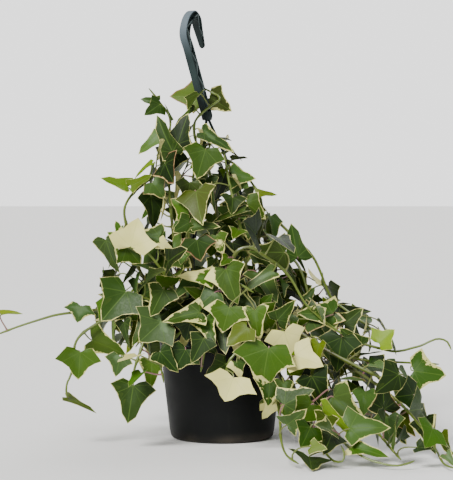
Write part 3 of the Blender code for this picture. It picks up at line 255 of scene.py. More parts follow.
class Recipe:
    """A Principled material and short ways to add nodes to it."""

    def __init__(self, name, roughness=0.5, **sockets):
        self.material = bpy.data.materials.new(name)
        self.material.use_nodes = True
        self.tree = self.material.node_tree
        self.shader = self.tree.nodes["Principled BSDF"]
        self.shader.inputs["Roughness"].default_value = roughness
        for key, value in sockets.items():
            self.shader.inputs[key.replace("_", " ")].default_value = value

    def node(self, kind, *inputs, **settings):
        """A new node with its first inputs set or joined, and its own settings."""
        made = self.tree.nodes.new(kind)
        for key, value in settings.items():
            setattr(made, key, value)
        for socket, value in zip(made.inputs, inputs):
            self.set(socket, value)
        return made

    def set(self, socket, value):
        """Joins another node's output to a socket, or gives the socket a number."""
        if isinstance(value, bpy.types.NodeSocket):
            self.tree.links.new(value, socket)
        elif value is not None:
            socket.default_value = value

    def math(self, operation, *inputs):
        """The result of a sum, product, difference or other operation."""
        return self.node("ShaderNodeMath", *inputs, operation=operation).outputs[0]

    def place(self, scale=(1, 1, 1)):
        """The place on the plant in metres, times a scale in each direction."""
        coordinates = self.node("ShaderNodeTexCoord").outputs["Object"]
        return self.node("ShaderNodeMapping", coordinates, None, None, scale).outputs[0]

    def noise(self, vector, scale, detail=2.0, roughness=0.5):
        """A cloudy pattern from 0 to 1."""
        made = self.node("ShaderNodeTexNoise")
        for key, value in (("Vector", vector), ("Scale", scale), ("Detail", detail),
                           ("Roughness", roughness)):
            self.set(made.inputs[key], value)
        return made.outputs["Fac"]

    def ramp(self, value, low, high, start=0.0, end=1.0):
        """The value taken from low..high to start..end, held at both ends."""
        made = self.node("ShaderNodeMapRange", interpolation_type="SMOOTHSTEP")
        for socket, given in zip(made.inputs, (value, low, high, start, end)):
            self.set(socket, given)
        return made.outputs[0]

    def mix(self, share, first, second, blend="MIX"):
        """The first colour turned into the second by a share."""
        made = self.node("ShaderNodeMix", data_type="RGBA", blend_type=blend)
        self.set(made.inputs[0], share)
        for socket, colour in ((made.inputs[6], first), (made.inputs[7], second)):
            self.set(socket, (*colour, 1.0) if isinstance(colour, tuple) else colour)
        return made.outputs[2]

    def parts(self, name):
        """A vector attribute and its three numbers."""
        vector = self.node("ShaderNodeAttribute", attribute_name=name).outputs["Vector"]
        return (vector, *self.node("ShaderNodeSeparateXYZ", vector).outputs)

    def finish(self, colour, roughness=None, height=None, bump=0.3, distance=0.4 * MM):
        """Joins the colour, the roughness and a bump of so many metres to the shader."""
        self.set(self.shader.inputs["Base Color"], colour)
        self.set(self.shader.inputs["Roughness"], roughness)
        if height is not None:
            made = self.node("ShaderNodeBump")
            made.inputs["Strength"].default_value = bump
            made.inputs["Distance"].default_value = distance
            self.set(made.inputs["Height"], height)
            self.set(self.shader.inputs["Normal"], made.outputs[0])
        return self.material


def leaf_material():
    """Waxy variegated blade: fleshy green with grey-green sectors and pale veins that run from
    the petiole into the lobes, inside a ragged cream margin.

    The blade attribute holds the place on the blade in blade lengths (across, along) and the
    distance from the margin. Flesh is the blade's own green, looks are its margin width, grey
    cover and cream cover, and extra is its seed, its under side and its rosy blush."""
    veil, silver, vein_green, under_green = (
        (0.065, 0.12, 0.035), (0.10, 0.165, 0.07), (0.10, 0.185, 0.022), (0.06, 0.10, 0.006))
    pale_cream, yellow_cream, cream_vein = (0.76, 0.72, 0.32), (0.62, 0.60, 0.17), (0.46, 0.52, 0.16)
    brown_speck, rose = (0.34, 0.20, 0.06), (0.42, 0.15, 0.10)
    r = Recipe("variegated_blade", 0.5, Specular_IOR_Level=0.22, Coat_Weight=0.02,
               Coat_Roughness=0.3)
    _, x, y, edge = r.parts("blade")
    flesh, _, _, _ = r.parts("flesh")
    _, margin, grey, cream = r.parts("looks")
    _, seed, under, blush = r.parts("extra")
    spot = r.node("ShaderNodeCombineXYZ", x, y, seed).outputs[0]
    ragged = r.noise(spot, 7.0, 4.0, 0.62)
    broad = r.noise(spot, 1.7, 1.0)
    fine = r.noise(spot, 24.0, 3.0)
    side = r.math("ABSOLUTE", x)

    def vein(angle, width):
        """A line from the petiole at an angle to the midrib, on both sides, thinner outward."""
        angle = math.radians(angle)
        sine, cosine = math.sin(angle), math.cos(angle)
        off = r.math("ABSOLUTE", r.math("SUBTRACT", r.math("MULTIPLY", side, cosine),
                                        r.math("MULTIPLY", y, sine)))
        ahead = r.math("ADD", r.math("MULTIPLY", side, sine), r.math("MULTIPLY", y, cosine))
        line = r.ramp(off, width, width * 0.3)
        return r.math("MULTIPLY", line, r.ramp(ahead, 0.0, 0.03))

    veins = vein(0, 0.020)
    for angle, width, strength in ((31, 0.012, 0.35), (58, 0.016, 0.8), (100, 0.013, 0.55)):
        veins = r.math("MAXIMUM", veins, r.math("MULTIPLY", vein(angle, width), strength))
    wander = r.math("MULTIPLY", r.math("SUBTRACT", broad, 0.5), 0.5)
    inner = r.ramp(r.math("ADD", edge, wander), 0.3, 0.62)
    patch = r.ramp(r.math("ADD", broad, r.math("MULTIPLY", ragged, 0.35)), 0.60, 0.72)
    grey_share = r.math("MULTIPLY", grey, r.math("MULTIPLY", patch, inner))
    greyed = r.mix(r.math("MULTIPLY", grey, 0.25), flesh, veil)
    colour = r.mix(grey_share, greyed, silver)
    darker = r.mix(1.0, colour, (0.62, 0.7, 0.5), "MULTIPLY")
    colour = r.mix(r.ramp(fine, 0.35, 0.75, 0.0, 0.25), colour, darker)
    colour = r.mix(r.math("MULTIPLY", veins, 0.42), colour, vein_green)
    colour = r.mix(r.math("MULTIPLY", under, 0.55), colour, under_green)
    uneven = r.math("MULTIPLY", r.ramp(ragged, 0.3, 0.75, 0.25, 1.9),
                    r.ramp(broad, 0.35, 0.68, 0.35, 2.2))
    reach = r.math("MULTIPLY", margin, uneven)
    in_margin = r.ramp(r.math("SUBTRACT", edge, reach), 0.014, -0.008, 0.0, 0.88)
    sector = r.math("ADD", r.math("MULTIPLY", r.noise(spot, 1.1, 0.0), 0.9),
                    r.math("ADD", r.math("MULTIPLY", ragged, 0.25), r.math("MULTIPLY", x, 0.35)))
    threshold = r.ramp(cream, 0.0, 1.0, 1.05, 0.1)
    in_sector = r.ramp(r.math("SUBTRACT", sector, threshold), -0.015, 0.02)
    creamy = r.math("MAXIMUM", in_margin, in_sector)
    cream_tint = r.mix(broad, pale_cream, yellow_cream)
    cream_tint = r.mix(r.math("MULTIPLY", veins, 0.35), cream_tint, cream_vein)
    cream_tint = r.mix(r.ramp(fine, 0.66, 0.80, 0.0, 0.35), cream_tint, brown_speck)
    colour = r.mix(creamy, colour, cream_tint)
    tip = r.math("MULTIPLY", blush, r.ramp(edge, 0.09, 0.0))
    colour = r.mix(r.math("MULTIPLY", tip, 0.6), colour, rose)
    rough = r.ramp(fine, 0.3, 0.7, 0.42, 0.58)
    height = r.math("SUBTRACT", r.math("MULTIPLY", fine, 0.25), r.math("MULTIPLY", veins, 0.8))
    return r.finish(colour, rough, height, 0.35, 0.3 * MM)


def stem_material():
    """Fleshy stems: purple-brown near the soil, green to the tip, petioles pale green or rosy.

    The growth attribute holds the share of the way from the soil to the tip, whether the point is
    on a petiole, and how rosy that is."""
    olive_green, fresh_green = (0.070, 0.115, 0.008), (0.15, 0.21, 0.022)
    bark_purple, bark_brown = (0.034, 0.021, 0.012), (0.070, 0.052, 0.016)
    stalk_green, stalk_pale = (0.085, 0.15, 0.014), (0.16, 0.22, 0.035)
    stalk_rose, streak_brown = (0.34, 0.14, 0.17), (0.09, 0.07, 0.03)
    r = Recipe("fleshy_stem", 0.42, Coat_Weight=0.08)
    _, age, petiole, rosy = r.parts("growth")
    blotch = r.noise(r.place((60, 60, 60)), 1.0, 3.0)
    streak = r.noise(r.place((700, 700, 120)), 1.0, 2.0)
    young = r.mix(blotch, olive_green, fresh_green)
    old = r.mix(blotch, bark_purple, bark_brown)
    greening = r.math("ADD", age, r.math("MULTIPLY", blotch, 0.5))
    colour = r.mix(r.ramp(greening, 0.35, 0.95), old, young)
    leafy = r.mix(rosy, r.mix(streak, stalk_green, stalk_pale), stalk_rose)
    colour = r.mix(petiole, colour, leafy)
    colour = r.mix(r.ramp(streak, 0.45, 0.75, 0.0, 0.3), colour, streak_brown)
    return r.finish(colour, r.ramp(blotch, 0.3, 0.7, 0.34, 0.52), streak, 0.25, 0.2 * MM)


def pot_material():
    """Moulded black plastic with a faint grey haze, scuff streaks all over, and brown dust
    toward the base.
    """
    black, paler = (0.0020, 0.0026, 0.0028), (0.0042, 0.0052, 0.0050)
    scuff, dust_brown = (0.010, 0.010, 0.009), (0.085, 0.07, 0.052)
    r = Recipe("black_pot_plastic", 0.55, Specular_IOR_Level=0.16)
    grain = r.noise(r.place((2200, 2200, 2200)), 1.0, 2.0)
    haze = r.noise(r.place((18, 18, 30)), 1.0, 4.0)
    streak = r.noise(r.place((140, 140, 9)), 1.0, 3.0)
    colour = r.mix(r.ramp(haze, 0.35, 0.7), black, paler)
    colour = r.mix(r.ramp(streak, 0.62, 0.8, 0.0, 0.35), colour, scuff)
    height = r.node("ShaderNodeSeparateXYZ", r.place()).outputs[2]
    dust_top = 12 * MM
    dust = r.math("MULTIPLY", r.ramp(height, dust_top, 0.0), r.ramp(haze, 0.4, 0.7, 0.1, 0.6))
    colour = r.mix(dust, colour, dust_brown)
    return r.finish(colour, r.ramp(haze, 0.3, 0.75, 0.46, 0.62), grain, 0.12, 0.1 * MM)


def hanger_material():
    """Moulded dark grey-green plastic, with painted highlight: the outside of the bend turns paler
    grey toward the top, and the ribs are lighter. A point attribute says which points are on the
    outer flange and which on a rib."""
    deep_green, grey_green = (0.009, 0.018, 0.018), (0.018, 0.032, 0.031)
    bend_highlight_grey, rib_highlight_grey = (0.145, 0.185, 0.215), (0.12, 0.155, 0.155)
    r = Recipe("hanger_plastic_grey_green", 0.5, Specular_IOR_Level=0.2)
    grain = r.noise(r.place((1800, 1800, 1800)), 1.0, 2.0)
    haze = r.noise(r.place((70, 70, 40)), 1.0, 3.0)
    colour = r.mix(r.ramp(haze, 0.3, 0.7), deep_green, grey_green)
    # the attribute marks where highlight is painted: the outer flange and the ribs
    _, outside, rib, _ = r.parts("painted_highlight")
    height = r.node("ShaderNodeSeparateXYZ", r.place()).outputs[2]
    # painted highlight: the outer flange turns paler grey toward the top of the hook
    highlight_start, highlight_full = 375 * MM, 418 * MM
    paler = r.math("MULTIPLY", outside, r.ramp(height, highlight_start, highlight_full, 0.0, 0.85))
    colour = r.mix(paler, colour, bend_highlight_grey)
    # painted highlight: the ribs are made lighter than the rest of the plastic
    colour = r.mix(r.math("MULTIPLY", rib, 0.8), colour, rib_highlight_grey)
    return r.finish(colour, r.ramp(haze, 0.3, 0.7, 0.42, 0.58), grain, 0.1, 0.1 * MM)


def soil_material():
    """Dark moist potting mix: fibres and crumbs, with a few pale grains."""
    wet_peat, dry_peat, perlite = (0.016, 0.010, 0.007), (0.075, 0.048, 0.030), (0.42, 0.38, 0.32)
    r = Recipe("moist_potting_mix", 0.92)
    clump = r.noise(r.place((160, 160, 160)), 1.0, 5.0, 0.65)
    grains = r.node("ShaderNodeTexVoronoi", r.place(), feature="F1")
    grains.inputs["Scale"].default_value = 420
    colour = r.mix(r.ramp(clump, 0.3, 0.7), wet_peat, dry_peat)
    pale = r.math("MULTIPLY", r.ramp(grains.outputs["Distance"], 0.28, 0.18),
                  r.ramp(clump, 0.58, 0.66))
    colour = r.mix(pale, colour, perlite)
    return r.finish(colour, None, clump, 0.9, 1.2 * MM)


def floor_material():
    """Matt pale floor."""
    r = Recipe("pale_floor", 0.9)
    haze = r.noise(r.place((3, 3, 3)), 1.0, 2.0)
    return r.finish(r.mix(haze, (0.94, 0.94, 0.935), (0.95, 0.95, 0.945)))


# ---------------------------------------------------------------- vines as the CAD has them


def welded(node):
    """A CAD node's points and triangles, with the corners that its faces repeat merged."""
    mesh = node.data
    mesh.calc_loop_triangles()
    points = np.empty(len(mesh.vertices) * 3, np.float32)
    mesh.vertices.foreach_get("co", points)
    corners = np.empty(len(mesh.loop_triangles) * 3, np.int32)
    mesh.loop_triangles.foreach_get("vertices", corners)
    merged, place = np.unique(points.reshape(-1, 3).round(CAD_DIGITS), axis=0, return_inverse=True)
    return merged.astype(float), place.reshape(-1)[corners].reshape(-1, 3)


class Blade:
    """A leaf read from a vine: foot, frame, length, half outline, fold and curl, and its slot.

    The upper fan's ring starts at the foot, with a shared corner on each side of it, ring[1] and
    ring[-1]. The right half's three corners are ring[2:5] and the tip is ring[5]."""

    # The share of the way from the foot to the tip at which the middles of the CAD's fans lie
    BLADE_MIDDLE = 0.35

    def __init__(self, points, around, top, under):
        shared = set(around[top]) & set(around[under])
        (first,) = set(around[top]) - shared
        ring = [first]
        while len(ring) < len(around[top]):
            ring.append(around[top][ring[-1]])
        self.corners = {top, under, *around[top], *around[under]}
        self.feet = {ring[0], ring[1], ring[-1], *(set(around[under]) - shared)}
        self.foot = (points[ring[1]] + points[ring[-1]]) / 2
        self.normal = unit(points[top] - points[under])
        middle = (points[top] + points[under]) / 2
        reach = points[ring[5]] - self.foot
        bend = reach - (middle - self.foot) / self.BLADE_MIDDLE
        self.is_upper = float(bend @ self.normal) < 0
        drop = np.linalg.norm(bend) / (1 - self.BLADE_MIDDLE)
        straight = reach + drop * self.normal
        self.length = np.linalg.norm(straight)
        self.tip = straight / self.length
        self.right = np.cross(self.tip, self.normal)
        self.curl = drop / self.length
        axes = np.stack([self.right, self.tip, self.normal], axis=1)
        local = (points[ring[2:5]] - self.foot) @ axes
        local /= self.length
        self.half = local[:, :2]
        self.fold = (local[1, 2] + self.curl * local[1, 1] ** 2) / local[1, 0]


def read_vine(node):
    """The centres and radii of a vine's stem rings from the soil to the tip, and its leaves.

    Every fan of ten triangles is one side of a blade. The four points next to a blade's foot are
    the petiole's knee, and the four beyond them lie on the stem. What is left are the stem's
    rings of four points, each joined to the next."""
    points, faces = welded(node)
    around = [{} for _ in points]
    for a, b, c in faces.tolist():
        around[a][b], around[b][c], around[c][a] = c, a, b
    fans = [k for k, ring in enumerate(around) if len(ring) == CAD_BLADE_SIDES]
    blades, taken = [], set()
    for top in fans:
        for under in fans:
            shared = set(around[top]) & set(around[under])
            if top == under or len(shared) != CAD_BLADE_SIDES - 1:
                continue
            blade = Blade(points, around, top, under)
            if blade.is_upper:
                blades.append(blade)
    for blade in blades:
        knee = {k for foot in blade.feet for k in around[foot]} - blade.corners
        blade.knee = knee
        taken |= blade.corners | knee
    stem = set(range(len(points))) - taken
    ring = {k for k in stem if abs(points[k, 2] - SOIL_TOP) < ROOT_LEVEL_PLAY
            and math.hypot(*points[k, :2]) < ROOT_CIRCLE}
    rings, seen = [], set()
    while ring:
        rings.append(sorted(ring))
        seen |= ring
        ring = {k for j in ring for k in around[j]} & stem - seen
    level = {k: row for row, ring in enumerate(rings) for k in ring}
    centres = np.array([points[ring].mean(axis=0) for ring in rings])
    radii = np.array([np.linalg.norm(points[ring] - centre, axis=1).mean()
                      for ring, centre in zip(rings, centres)])
    for blade in blades:
        corners = list({k for j in blade.knee for k in around[j]} & stem)
        blade.slot = points[corners].mean(axis=0)
        rows = sorted({level[k] for k in corners})
        blade.outward = unit(blade.slot - centres[rows].mean(axis=0))
        blade.at = along(centres)[rows].mean()
    return centres, radii, blades


class YoungBlade:
    """A small young leaf beside a stem, hanging out from it on a short petiole."""

    def __init__(self, centre, tangent, radius, at, pick):
        way = np.array([pick.uniform(-1, 1) for _ in range(3)])
        self.outward = unit(way - (way @ tangent) * tangent)
        self.at = at
        self.slot = centre + self.outward * radius
        droop = np.array((0, 0, -pick.uniform(0.1, 1.0)))
        self.foot = self.slot + (self.outward + 0.3 * droop) * pick.uniform(4, 9) * MM
        self.tip = unit(self.outward * 0.7 + droop)
        facing = np.array((centre[0], centre[1] - 0.02, 0.05)) + 0.04 * way
        self.normal = unit(facing - (facing @ self.tip) * self.tip)
        self.right = np.cross(self.tip, self.normal)
        self.length = pick.uniform(*YOUNG_LENGTH)
        wide = pick.uniform(0.8, 1.15)
        self.half = np.array(((0.32 * wide, -0.16), (0.60 * wide, 0.12), (0.27 * wide, 0.50)))
        self.fold, self.curl = pick.uniform(0.05, 0.4), pick.uniform(0.05, 0.3)


def young_blades(centres, radii, blades, pick):
    """Young leaves at the bare nodes of a stem, where it runs inside the plant's cone."""
    run = along(centres)
    tangents = unit(np.gradient(centres, axis=0))
    taken = [b.at for b in blades]
    young = []
    for at in np.arange(YOUNG_SPACING, run[-1] - YOUNG_SPACING, YOUNG_SPACING):
        centre, tangent = (np.array([np.interp(at, run, column) for column in rows.T])
                           for rows in (centres, tangents))
        half_width = YOUNG_CONE_WIDTH - YOUNG_CONE_SLOPE * (centre[2] - POT_HEIGHT)
        is_bare = all(abs(at - place) >= YOUNG_CLEARANCE for place in taken)
        is_inside = abs(centre[0] - HUB[0]) <= half_width
        if is_bare and is_inside and YOUNG_LOWEST < centre[2] < YOUNG_HIGHEST:
            young.append(YoungBlade(centre, unit(tangent), np.interp(at, run, radii), at, pick))
    return young


# ---------------------------------------------------------------- leaves


def gathered(blades, key):
    """One value of every blade, as the rows of an array."""
    return np.array([getattr(blade, key) for blade in blades])


def blade_outlines(blades, rng):
    """The blades' sharp outlines, as (leaf, point, xy), from beside the petiole over the tip and
    back, with a point between each pair of the CAD's, pushed out on the lobes or in between."""
    half = gathered(blades, "half")
    count = len(blades)
    foot = np.tile((0.03, 0.0), (count, 1, 1))
    tip = np.tile((0.0, 1.0), (count, 1, 1))
    corners = np.concatenate([foot, half, tip], axis=1)
    lobed = np.clip((half[:, 1, 1] + 0.08) / 0.38, 0, 1)[:, None]
    # how far the point between two corners bulges out, on an arrow-shaped and on a lobed blade
    arrow, lobes = np.array((0.10, 0.06, -0.02, 0.09)), np.array((0.10, -0.02, -0.07, 0.09))
    bulge = arrow * (1 - lobed) + lobes * lobed + rng.uniform(-0.025, 0.025, (count, 4))
    step = corners[:, 1:] - corners[:, :-1]
    outward = np.stack([step[..., 1], -step[..., 0]], axis=-1)
    between = (corners[:, 1:] + corners[:, :-1]) / 2 + outward * bulge[..., None]
    right = np.empty((count, 8, 2))
    right[:, 0::2], right[:, 1::2] = corners[:, :4], between
    left = right[:, ::-1] * (-1, 1)
    left = left * rng.uniform(0.93, 1.07, (count, 1, 1))
    return np.concatenate([right, tip, left], axis=1)


def band_faces(first, second):
    """Quads between two closed rings of points."""
    return np.stack([first, second, np.roll(second, -1), np.roll(first, -1)], axis=-1)


def blade_surfaces(blades, rng):
    """All blades of a vine as thin closed shells.

    At share s of the way from the foot to outline point p, x and y are s p, the height is
    fold |x| - curl y^2 plus a ripple that grows as s^3, and the upper and the lower side lie half
    a thickness (1 - s^2) off it, so they meet in a sharp margin. Returns the points as (leaf,
    point, xyz), the quads, the triangles, the blade attribute, and which of a leaf's points are
    below."""
    outline = blade_outlines(blades, rng)
    count, around = outline.shape[:2]
    shares = np.array((0.5, 1.0))
    flat = outline[:, None] * shares[:, None, None]
    x, y = flat[..., 0], flat[..., 1]
    fold, curl, length, right, tip, normal = (
        gathered(blades, key)[:, None, None]
        for key in ("fold", "curl", "length", "right", "tip", "normal"))
    foot = gathered(blades, "foot")
    turn = np.linspace(0, 2 * math.pi, around)
    phase = rng.uniform(0, 2 * math.pi, (count, 1, 1))
    ripple = (rng.uniform(0.012, 0.040, (count, 1, 1)) * np.sin(3 * turn + phase)
              + 0.01 * np.sin(7 * turn - phase))
    height = fold * np.abs(x) - curl * y**2 + ripple * shares[:, None] ** 3
    thickness = BLADE_HALF_THICKNESS * (1 - shares[:, None] ** 2)
    place = foot[:, None, None] + length[..., None] * (
        x[..., None] * right + y[..., None] * tip + height[..., None] * normal)
    lift = thickness[None, ..., None] * normal
    upper, lower = place + lift, (place - lift)[:, :1]
    rise = BLADE_HALF_THICKNESS * normal[:, 0]
    poles = np.concatenate([foot[:, None] + rise, foot[:, None] - rise], axis=1)
    points = np.concatenate(
        [upper.reshape(count, -1, 3), lower.reshape(count, -1, 3), poles], axis=1)
    each = points.shape[1]
    # rings: the middle of the upper side, the margin, and the middle of the lower side
    middle = np.arange(around)
    margin, below_middle = middle + around, middle + 2 * around
    quads = np.vstack([band_faces(middle, margin), band_faces(margin, below_middle)])
    tris = np.vstack([fan_faces(each - 2, middle), fan_faces(each - 1, below_middle[::-1])])
    size = np.linalg.norm(outline, axis=2)
    edge = (1 - shares[:, None]) * (0.35 + 0.65 * size[:, None])
    upper_values = np.stack([x, y, np.broadcast_to(edge, x.shape)], axis=-1)
    at_foot = np.broadcast_to((0, 0, 0.8), (count, 2, 3))
    lower_values = upper_values[:, :1]
    blade_values = np.concatenate(
        [upper_values.reshape(count, -1, 3), lower_values.reshape(count, -1, 3), at_foot], axis=1)
    below = np.concatenate([np.zeros(2 * around), np.ones(around), (0, 1)])
    shift = (np.arange(count) * each)[:, None, None]
    quads, tris = (quads + shift).reshape(-1, 4), (tris + shift).reshape(-1, 3)
    return points, quads, tris, blade_values.reshape(-1, 3), below


def kind_of(blade, pick):
    """A blade's kind: by its foot's place if it has one of its own, and by share otherwise."""
    foot = blade.foot / MM
    for kind, places in LEAF_PLACES.items():
        for x, z in places:
            if abs(foot[0] - x) < LEAF_PLACE_PLAY and abs(foot[2] - z) < LEAF_PLACE_PLAY:
                return kind
    return pick.choices(list(LEAF_KINDS), [look[4] for look in LEAF_KINDS.values()])[0]


def for_every_point(rows, each):
    """One row for each leaf, repeated for each of the leaf's points."""
    return np.repeat(np.array(rows, float), each, axis=0)


def leaf_values(blades, each, below, pick):
    """The attributes that colour each leaf: its flesh, its looks, and seed, side and blush."""
    flesh, looks, extra = [], [], []
    for blade in blades:
        colour, margin, grey, cream, _ = LEAF_KINDS[kind_of(blade, pick)]
        light = math.exp(pick.uniform(-0.55, 0.6))
        yellow = pick.uniform(0.85, 1.25)
        flesh.append((colour[0] * light * yellow, colour[1] * light, colour[2] * light))
        looks.append((margin * pick.uniform(0.2, 1.7), grey * pick.uniform(0.7, 1.2),
                      min(1, cream * pick.uniform(0.85, 1.1))))
        extra.append((pick.uniform(0, 60), 0, pick.uniform(0, 1) if pick.random() < ROSY_BLADES else 0))
    flesh, looks, extra = (for_every_point(rows, each) for rows in (flesh, looks, extra))
    extra[:, 1] = np.tile(below, len(blades))
    return {"flesh": flesh, "looks": looks, "extra": extra}


def petiole_paths(blades):
    """Each petiole's cubic: out of the stem, over to the blade's foot and on along the blade."""
    slot, outward, foot, tip = (
        gathered(blades, key) for key in ("slot", "outward", "foot", "tip"))
    start = slot - outward * STALK_IN_STEM
    span = np.linalg.norm(foot - start, axis=1, keepdims=True)
    controls = (start, start + outward * 0.4 * span, foot - tip * 0.3 * span,
                foot + tip * STALK_IN_BLADE)
    s = np.linspace(0, 1, STALK_ROWS)[:, None]
    weights = ((1 - s) ** 3, 3 * s * (1 - s) ** 2, 3 * s**2 * (1 - s), s**3)
    return sum(w * c[:, None] for w, c in zip(weights, controls))


def build_vine(name, node, leaf_look, stem_look):
    """A vine's stem with its petioles, and its blades, along the CAD's own rings and leaves."""
    seed = sum(ord(c) * (k + 3) for k, c in enumerate(name))
    pick, rng = random.Random(seed), np.random.default_rng(seed)
    centres, radii, blades = read_vine(node)
    root = centres[0] - (0, 0, STEM_IN_MIX)
    path = smooth_path(np.vstack([root, centres]), STEM_STEP)
    run = along(path) - STEM_IN_MIX
    radius = np.interp(run, along(centres), radii)
    blades = blades + young_blades(centres, radii, blades, random.Random(seed + 1))
    off_node = run[:, None] - gathered(blades, "at")
    swell = np.exp(-((off_node / NODE_SWELL_REACH) ** 2)).max(axis=1)
    radius = radius * (1 + NODE_SWELL * swell)
    radius[-1] *= 0.5
    points, quads, caps, _ = tubes(path[None], radius[None], STEM_SIDES)
    age = np.concatenate([np.repeat(np.clip(run / run[-1], 0, 1), STEM_SIDES), (0, 1)])
    growth = np.stack([age, 0 * age, 0 * age], axis=1)
    thick = MM * np.interp(
        np.linspace(0, 1, STALK_ROWS), (0, 0.15, 0.9, 1), (1.25, 0.8, 0.65, 0.55))
    stalk_points, stalk_quads, stalk_caps, stalk_each = tubes(
        petiole_paths(blades), np.tile(thick, (len(blades), 1)), STALK_SIDES)
    rosy = [pick.uniform(0.5, 1.0) if pick.random() < ROSY_STALKS else pick.uniform(0, 0.2)
            for _ in blades]
    stalk_growth = for_every_point([(1, 1, share) for share in rosy], stalk_each)
    stem = add_piece(f"vine_{name}_stem", np.vstack([points, stalk_points]),
                     [quads, caps, stalk_quads + len(points), stalk_caps + len(points)],
                     stem_look, {"growth": np.vstack([growth, stalk_growth])})
    belongs(stem, "vine_green", f"vine_{name}")
    points, quads, tris, blade_values, below = blade_surfaces(blades, rng)
    values = leaf_values(blades, points.shape[1], below, pick)
    values["blade"] = blade_values
    leaves = add_piece(f"vine_{name}_leaves", points.reshape(-1, 3), [quads, tris], leaf_look,
                       values, 75)
    belongs(leaves, "vine_green", f"vine_{name}")


# ---------------------------------------------------------------- pot and soil


def arc(centre, radius, start, end, count):
    """Points of an arc in the (radius, height) plane, angles in degrees."""
    angles = np.radians(np.linspace(start, end, count))
    return [(centre[0] + radius * math.cos(a), centre[1] + radius * math.sin(a)) for a in angles]


def turned(profile, sides):
    """A profile of (radius, height) turned round Z, with a pole at each end.

    The point at (i, t) is (r(i) cos t, r(i) sin t, h(i))."""
    profile = np.array(profile)
    angle = np.linspace(0, 2 * math.pi, sides, endpoint=False)
    rings = np.stack([profile[:, :1] * np.cos(angle), profile[:, :1] * np.sin(angle),
                      np.broadcast_to(profile[:, 1:], (len(profile), sides))], axis=-1)
    ends = np.array([(0, 0, profile[0, 1]), (0, 0, profile[-1, 1])])
    points = np.vstack([rings.reshape(-1, 3), ends])
    ring = np.arange(sides)
    last_ring = ring + (len(profile) - 1) * sides
    first_cap = fan_faces(len(points) - 2, ring[::-1])
    last_cap = fan_faces(len(points) - 1, last_ring)
    return points, ring_faces(len(profile), sides), np.vstack([first_cap, last_cap])


def pot_inner_radius(height):
    """The inside radius of the pot's wall at a height."""
    return POT_BASE_RADIUS + (POT_TOP_RADIUS - POT_BASE_RADIUS) / POT_HEIGHT * height - POT_WALL


def pot_outer_radius(height):
    """The outside radius of the pot's wall at a height."""
    return pot_inner_radius(height) + POT_WALL


def soil_radius(height):
    """The radius of the root ball at a height, just inside the pot's wall."""
    return pot_inner_radius(height) - 0.6 * MM


def build_pot(look):
    """The pot: a recessed base inside its foot ring, a tapered wall, and a rolled rim with a
    skirt, turned from one profile and drilled."""
    edge, roll, lip = 4 * MM, 1.6 * MM, 1.2 * MM
    under_rim, inside_skirt = POT_HEIGHT - RIM_SKIRT, RIM_RADIUS - POT_WALL
    recess, inner_floor, inner_foot = 0.8 * MM, 2.2 * MM, pot_inner_radius(0)
    profile = [
        # the recessed base and the foot ring
        (2 * MM, recess), (POT_BASE_RADIUS - 9 * MM, recess),
        (POT_BASE_RADIUS - 8 * MM, 0.15 * MM), (POT_BASE_RADIUS - 7.4 * MM, 0),
        # the wall's outside
        *arc((POT_BASE_RADIUS - edge, edge), edge, -90, -6, 8),
        *[(pot_outer_radius(h * MM), h * MM) for h in (8, 20, 34, 48, 62, 76, 90)],
        (pot_outer_radius(under_rim - 1 * MM), under_rim - 1 * MM),
        (pot_outer_radius(under_rim) + 0.3 * MM, under_rim + 1.5 * MM),
        (pot_outer_radius(POT_HEIGHT - 3 * MM) + 0.2 * MM, POT_HEIGHT - 3 * MM),
        # down the inside of the skirt, round its edge, and over the rim
        (inside_skirt - 0.8 * MM, POT_HEIGHT - 2.2 * MM), (inside_skirt, POT_HEIGHT - 3.2 * MM),
        (inside_skirt, under_rim + 0.4 * MM),
        *arc((RIM_RADIUS - POT_WALL / 2, under_rim + 0.75 * MM), POT_WALL / 2, -160, -10, 5),
        (RIM_RADIUS - 0.1 * MM, POT_HEIGHT - 4 * MM),
        *arc((RIM_RADIUS - roll, POT_HEIGHT - roll), roll, 0, 90, 6),
        # the wall's inside and the floor
        *arc((pot_inner_radius(POT_HEIGHT) + lip, POT_HEIGHT - lip), lip, 90, 178, 5),
        *[(pot_inner_radius(h * MM), h * MM) for h in (90, 60, 30, 7)],
        (inner_foot - 2 * MM, 3 * MM), (inner_foot - 5 * MM, inner_floor), (2 * MM, inner_floor),
    ]
    points, quads, caps = turned(profile, POT_SIDES)
    pot = add_piece("pot_shell", points, [quads, caps], look, None, 35)
    for k in range(DRAIN_HOLES):
        angle = 2 * math.pi * (k + 0.53) / DRAIN_HOLES
        points, quads, caps = turned([(DRAIN_RADIUS, -3 * MM), (DRAIN_RADIUS, 6 * MM)], 24)
        points = points + (DRAIN_CIRCLE * math.cos(angle), DRAIN_CIRCLE * math.sin(angle), 0)
        drill = add_piece(f"drill_{k}", points, [quads, caps], look)
        cut = pot.modifiers.new("drain", "BOOLEAN")
        cut.operation, cut.object, cut.solver = "DIFFERENCE", drill, "EXACT"
        bpy.context.view_layer.update()
        cut_pot = pot.evaluated_get(bpy.context.evaluated_depsgraph_get())
        cut_mesh = bpy.data.meshes.new_from_object(cut_pot)
        pot.modifiers.clear()
        pot.data = cut_mesh
        bpy.data.objects.remove(drill)
    belongs(pot, "pot_plastic", "pot")


